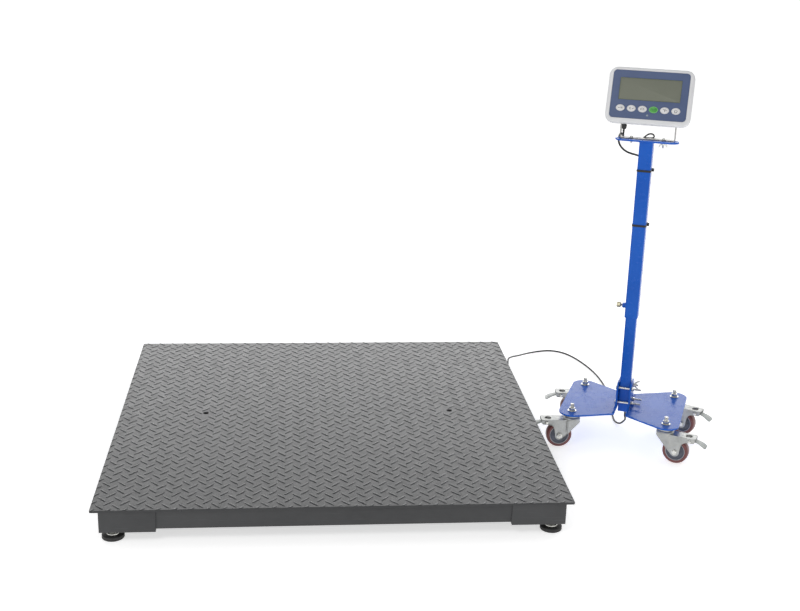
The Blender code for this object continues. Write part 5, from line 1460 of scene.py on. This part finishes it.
        bm = turned(bmesh.new(), [(0, -0.0002), (0.0031, -0.0002), (0.0031, 0.0004), (0.0024, 0.0010), (0.0012, 0.0013), (0, 0.0013)], 32)
        cross = [box(bmesh.new(), (-0.0018, 0.0018), (-0.00032, 0.00032), (0.0006, 0.0030)),
                 box(bmesh.new(), (-0.00032, 0.00032), (-0.0018, 0.0018), (0.0006, 0.0030))]
        piece(f"case_screw_{i}", bm, M["bright"], "indicator", at, sharp=32, cut=cross)

    # Overlay with its window and key openings.
    bm = loft(bmesh.new(), [[(x, y, z) for x, z in rounded_rect(0.2100, 0.1330, 0.0097, inset, (0, PANEL_UP), 12)]
                            for inset, y in ((0.0002, FRONT_Y + 0.0002), (0, FRONT_Y + 0.0004), (0, FRONT_Y + 0.0022))])
    merged = prism(bmesh.new(), rounded_rect(0.1696, 0.0616, 0.0018, centre=(0, WINDOW_UP), steps=5), (FRONT_Y - 0.01, FRONT_Y + 0.01), "y")
    keys = [((i - 2.5) * 0.0305, KEY_UP) for i in range(6)]
    others = [prism(bmesh.new(), [(x + 0.0124 * math.cos(a), z + 0.0093 * math.sin(a)) for a in (2 * math.pi * i / 56 for i in range(56))],
                    (FRONT_Y - 0.01, FRONT_Y + 0.01), "y") for x, z in keys]
    others.append(prism(bmesh.new(), circle(0.0023, 28, (0.0000, -0.0535)), (FRONT_Y - 0.01, FRONT_Y + 0.01), "y"))
    for other in others:
        temp = bpy.data.meshes.new("temp")
        other.to_mesh(temp)
        merged.from_mesh(temp)
        other.free()
    piece("overlay", bm, M["panel"], "indicator", CASE, "front_panel", sharp=38, cut=merged)
    # Status lamp below the keys.
    bm = turned(bmesh.new(), [(0, -0.0012), (0.0028, -0.0012), (0.0028, 0.0006), (0.0024, 0.0010), (0.0014, 0.0014), (0, 0.0015)], 32)
    at = CASE @ Matrix.Translation((0.0, FRONT_Y + 0.0008, -0.0535)) @ Matrix.Rotation(math.pi / 2, 4, "X")
    piece("status_lamp", bm, M["led"], "indicator", at, sharp=40)

    # Display: a dark cell edge round the blank glass.
    bm = loft(bmesh.new(), [[(x, y, z) for x, z in rounded_rect(0.1690, 0.0610, 0.0014, inset, (0, WINDOW_UP), 5)]
                            for inset, y in ((0.0, FRONT_Y + 0.0060), (0.0, FRONT_Y + 0.0012), (0.0003, FRONT_Y + 0.0009))])
    recess = prism(bmesh.new(), rounded_rect(0.1654, 0.0574, 0.0008, centre=(0, WINDOW_UP), steps=4), (FRONT_Y - 0.01, FRONT_Y + 0.0014), "y")
    piece("display_frame", bm, M["lcd_edge"], "indicator", CASE, "display_window", sharp=38, cut=recess)
    bm = loft(bmesh.new(), [[(x, y, z) for x, z in rounded_rect(0.1652, 0.0572, 0.0007, inset, (0, WINDOW_UP), 4)]
                            for inset, y in ((0.0, FRONT_Y + 0.00138), (0.0, FRONT_Y + 0.00115), (0.0002, FRONT_Y + 0.0010))])
    piece("display_glass", bm, M["lcd"], "indicator", CASE, None, sharp=38)

    # Keys: a rim, a domed cap and a printed sign on each. The signs are plain shapes.
    for i, (x, z) in enumerate(keys, 1):
        green = i == 4
        at = CASE @ Matrix.Translation((x, 0, z))

        def oval(scale_a, scale_b, y, sides=56):
            return [(0.0121 * scale_a * math.cos(a), y, 0.0090 * scale_b * math.sin(a)) for a in (2 * math.pi * k / sides for k in range(sides))]

        rim_rows = [oval(1.0, 1.0, FRONT_Y + 0.0040), oval(1.0, 1.0, FRONT_Y - 0.0004), oval(0.985, 0.98, FRONT_Y - 0.0009),
                    oval(0.95, 0.935, FRONT_Y - 0.0012), oval(0.90, 0.87, FRONT_Y - 0.0011), oval(0.87, 0.83, FRONT_Y - 0.0008)]
        piece(f"key_{i}_rim", loft(bmesh.new(), rim_rows), M["green_rim" if green else "key"], f"key_{i}", at, f"key_{i}",
              sharp=50)
        cap_rows = [oval(0.84, 0.79, FRONT_Y - 0.0002), oval(0.84, 0.79, FRONT_Y - 0.0011), oval(0.81, 0.75, FRONT_Y - 0.0014),
                    oval(0.66, 0.60, FRONT_Y - 0.0016), oval(0.40, 0.36, FRONT_Y - 0.00172), oval(0.12, 0.10, FRONT_Y - 0.00176)]
        piece(f"key_{i}_cap", loft(bmesh.new(), cap_rows), M["key_green" if green else "key_rim"] if green else M["key"],
              f"key_{i}", at, None, sharp=50)
        marks = bmesh.new()
        y0, y1 = FRONT_Y - 0.0014, FRONT_Y - 0.00182

        def bar(cx, cz, w, h, turn=0.0):
            c, s = math.cos(turn), math.sin(turn)
            prism(marks, [(cx + a * c - b * s, cz + a * s + b * c) for a, b in rounded_rect(w, h, min(w, h) * 0.45, steps=3)],
                  (y1, y0), "y")

        def arc(cx, cz, r, start, end, w):
            n = 18
            outer_arc = [(cx + (r + w) * math.cos(start + (end - start) * k / n), cz + (r + w) * math.sin(start + (end - start) * k / n)) for k in range(n + 1)]
            inner_arc = [(cx + r * math.cos(start + (end - start) * k / n), cz + r * math.sin(start + (end - start) * k / n)) for k in range(n, -1, -1)]
            prism(marks, outer_arc + inner_arc, (y1, y0), "y")

        if i == 1:
            bar(-0.0024, 0, 0.0040, 0.0008)
            bar(0.0024, 0.0008, 0.0040, 0.0008)
            bar(0.0024, -0.0010, 0.0040, 0.0008)
        elif i == 2:
            arc(-0.0018, 0, 0.0013, 0.5, 5.8, 0.0007)
            bar(0.0028, 0, 0.0034, 0.0008, 0.35)
        elif i == 3:
            arc(0, -0.0022, 0.0034, 0.45, 2.69, 0.0008)
            bar(0, -0.0016, 0.0070, 0.0008)
        elif i == 4:
            bar(0, 0.0008, 0.0094, 0.0009)
            bar(0, -0.0012, 0.0060, 0.0008)
        elif i == 5:
            bar(0, 0.0014, 0.0062, 0.0008)
            bar(0.0004, -0.0008, 0.0008, 0.0038)
            arc(0.0030, -0.0010, 0.0009, 0.0, 3.1, 0.0006)
        else:
            arc(0, -0.0004, 0.0020, 2.3, 7.1, 0.0008)
            bar(0, 0.0015, 0.0008, 0.0030)
        for vert in marks.verts:
            vert.co.x *= 1.55
            vert.co.z *= 1.50
        piece(f"key_{i}_sign", marks, M["green_print" if green else "print"], f"key_{i}", at, None,
              sharp=40)

    # Clamp knobs on the pivot: lobed grips with a stud through the bracket ear.
    for name, side in (("left", -1), ("right", 1)):
        turn = CASE @ Matrix.Rotation(side * math.pi / 2, 4, "Y")

        def lobed(a, r, z):
            return r - 0.0011 * (0.5 + 0.5 * math.cos(8 * a)) ** 1.6 if r > 0.0115 and 0.0800 < z < 0.0925 else r

        grip = [(0.0040, 0.0778), (0.0108, 0.0778), (0.0112, 0.0782), (0.0122, 0.0796), (0.0136, 0.0804), (0.0140, 0.0812),
                (0.0140, 0.0900), (0.0137, 0.0914), (0.0128, 0.0926), (0.0116, 0.0933), (0.0100, 0.0935), (0.0092, 0.0931),
                (0.0088, 0.0924), (0.0040, 0.0922)]
        piece(f"knob_grip_{name}", turned(bmesh.new(), grip, 128, turn, ring=True, radius_at=lobed), M["plastic"],
              f"tilt_knob_{name}", None, f"tilt_knob_{name}", sharp=40)
        insert = [(0, 0.0776), (0.0046, 0.0776), (0.0046, 0.0926), (0.0040, 0.0930), (0, 0.0930)]
        piece(f"knob_insert_{name}", turned(bmesh.new(), insert, 40, turn), M["bright"], f"tilt_knob_{name}",
              sharp=34)
        piece(f"knob_stud_{name}", thread(bmesh.new(), 0.0030, 0.0010, 0.0700, 0.0777, turn, 24, tip="low"), M["bright"],
              f"tilt_knob_{name}", sharp=50)

    # Lead gland under the case.
    at = CASE @ Matrix.Translation((-0.0620, -0.0220, -0.0775 - 0.0013 + 0.00025)) @ Matrix.Rotation(math.pi, 4, "X")
    def hexed(a, r, z):
        return hex_radius(0.0140)(a, r, z)

    bm = turned(bmesh.new(), [(0, -0.0070), (0.0047, -0.0070), (0.0047, GAP), (0.0070, GAP), (0.0078, 0.0010),
                              (0.0078, 0.0040), (0.0070, 0.0048), (0, 0.0048)], 48, radius_at=hexed)
    piece("case_gland_body", bm, M["plastic"], "indicator", at, "indicator_cable_gland", sharp=26)

    def ribbed(a, r, z):
        return r - 0.00028 * (0.5 + 0.5 * math.cos(16 * a)) if 0.0056 < z < 0.0096 and r > 0.0060 else r

    bm = turned(bmesh.new(), [(0.0029, 0.0049), (0.0066, 0.0049), (0.0069, 0.0053), (0.0069, 0.0060), (0.0068, 0.0090),
                              (0.0062, 0.0108), (0.0050, 0.0124), (0.0040, 0.0131), (0.0034, 0.0132), (0.0029, 0.0128)],
                96, ring=True, radius_at=ribbed)
    piece("case_gland_nut", bm, M["plastic"], "indicator", at, None, sharp=40)

    refine("circuit_board", M["board"], "indicator", 0.0002)
    refine("battery_pack", M["battery"], "indicator", 0.0012)


make_indicator()


# ---------------------------------------------------------------- floor, and the frame finish on the remaining CAD nodes
def make_floor():
    bm = bmesh.new()
    corners = [bm.verts.new((x, y, 0.0)) for x, y in ((-30, -30), (30, -30), (30, 30), (-30, 30))]
    bm.faces.new(corners)
    piece("floor", bm, M["floor"], None)


make_floor()
for node in NODES.values():
    if not node.hide_render:
        node.data.materials.clear()
        node.data.materials.append(M["frame"])
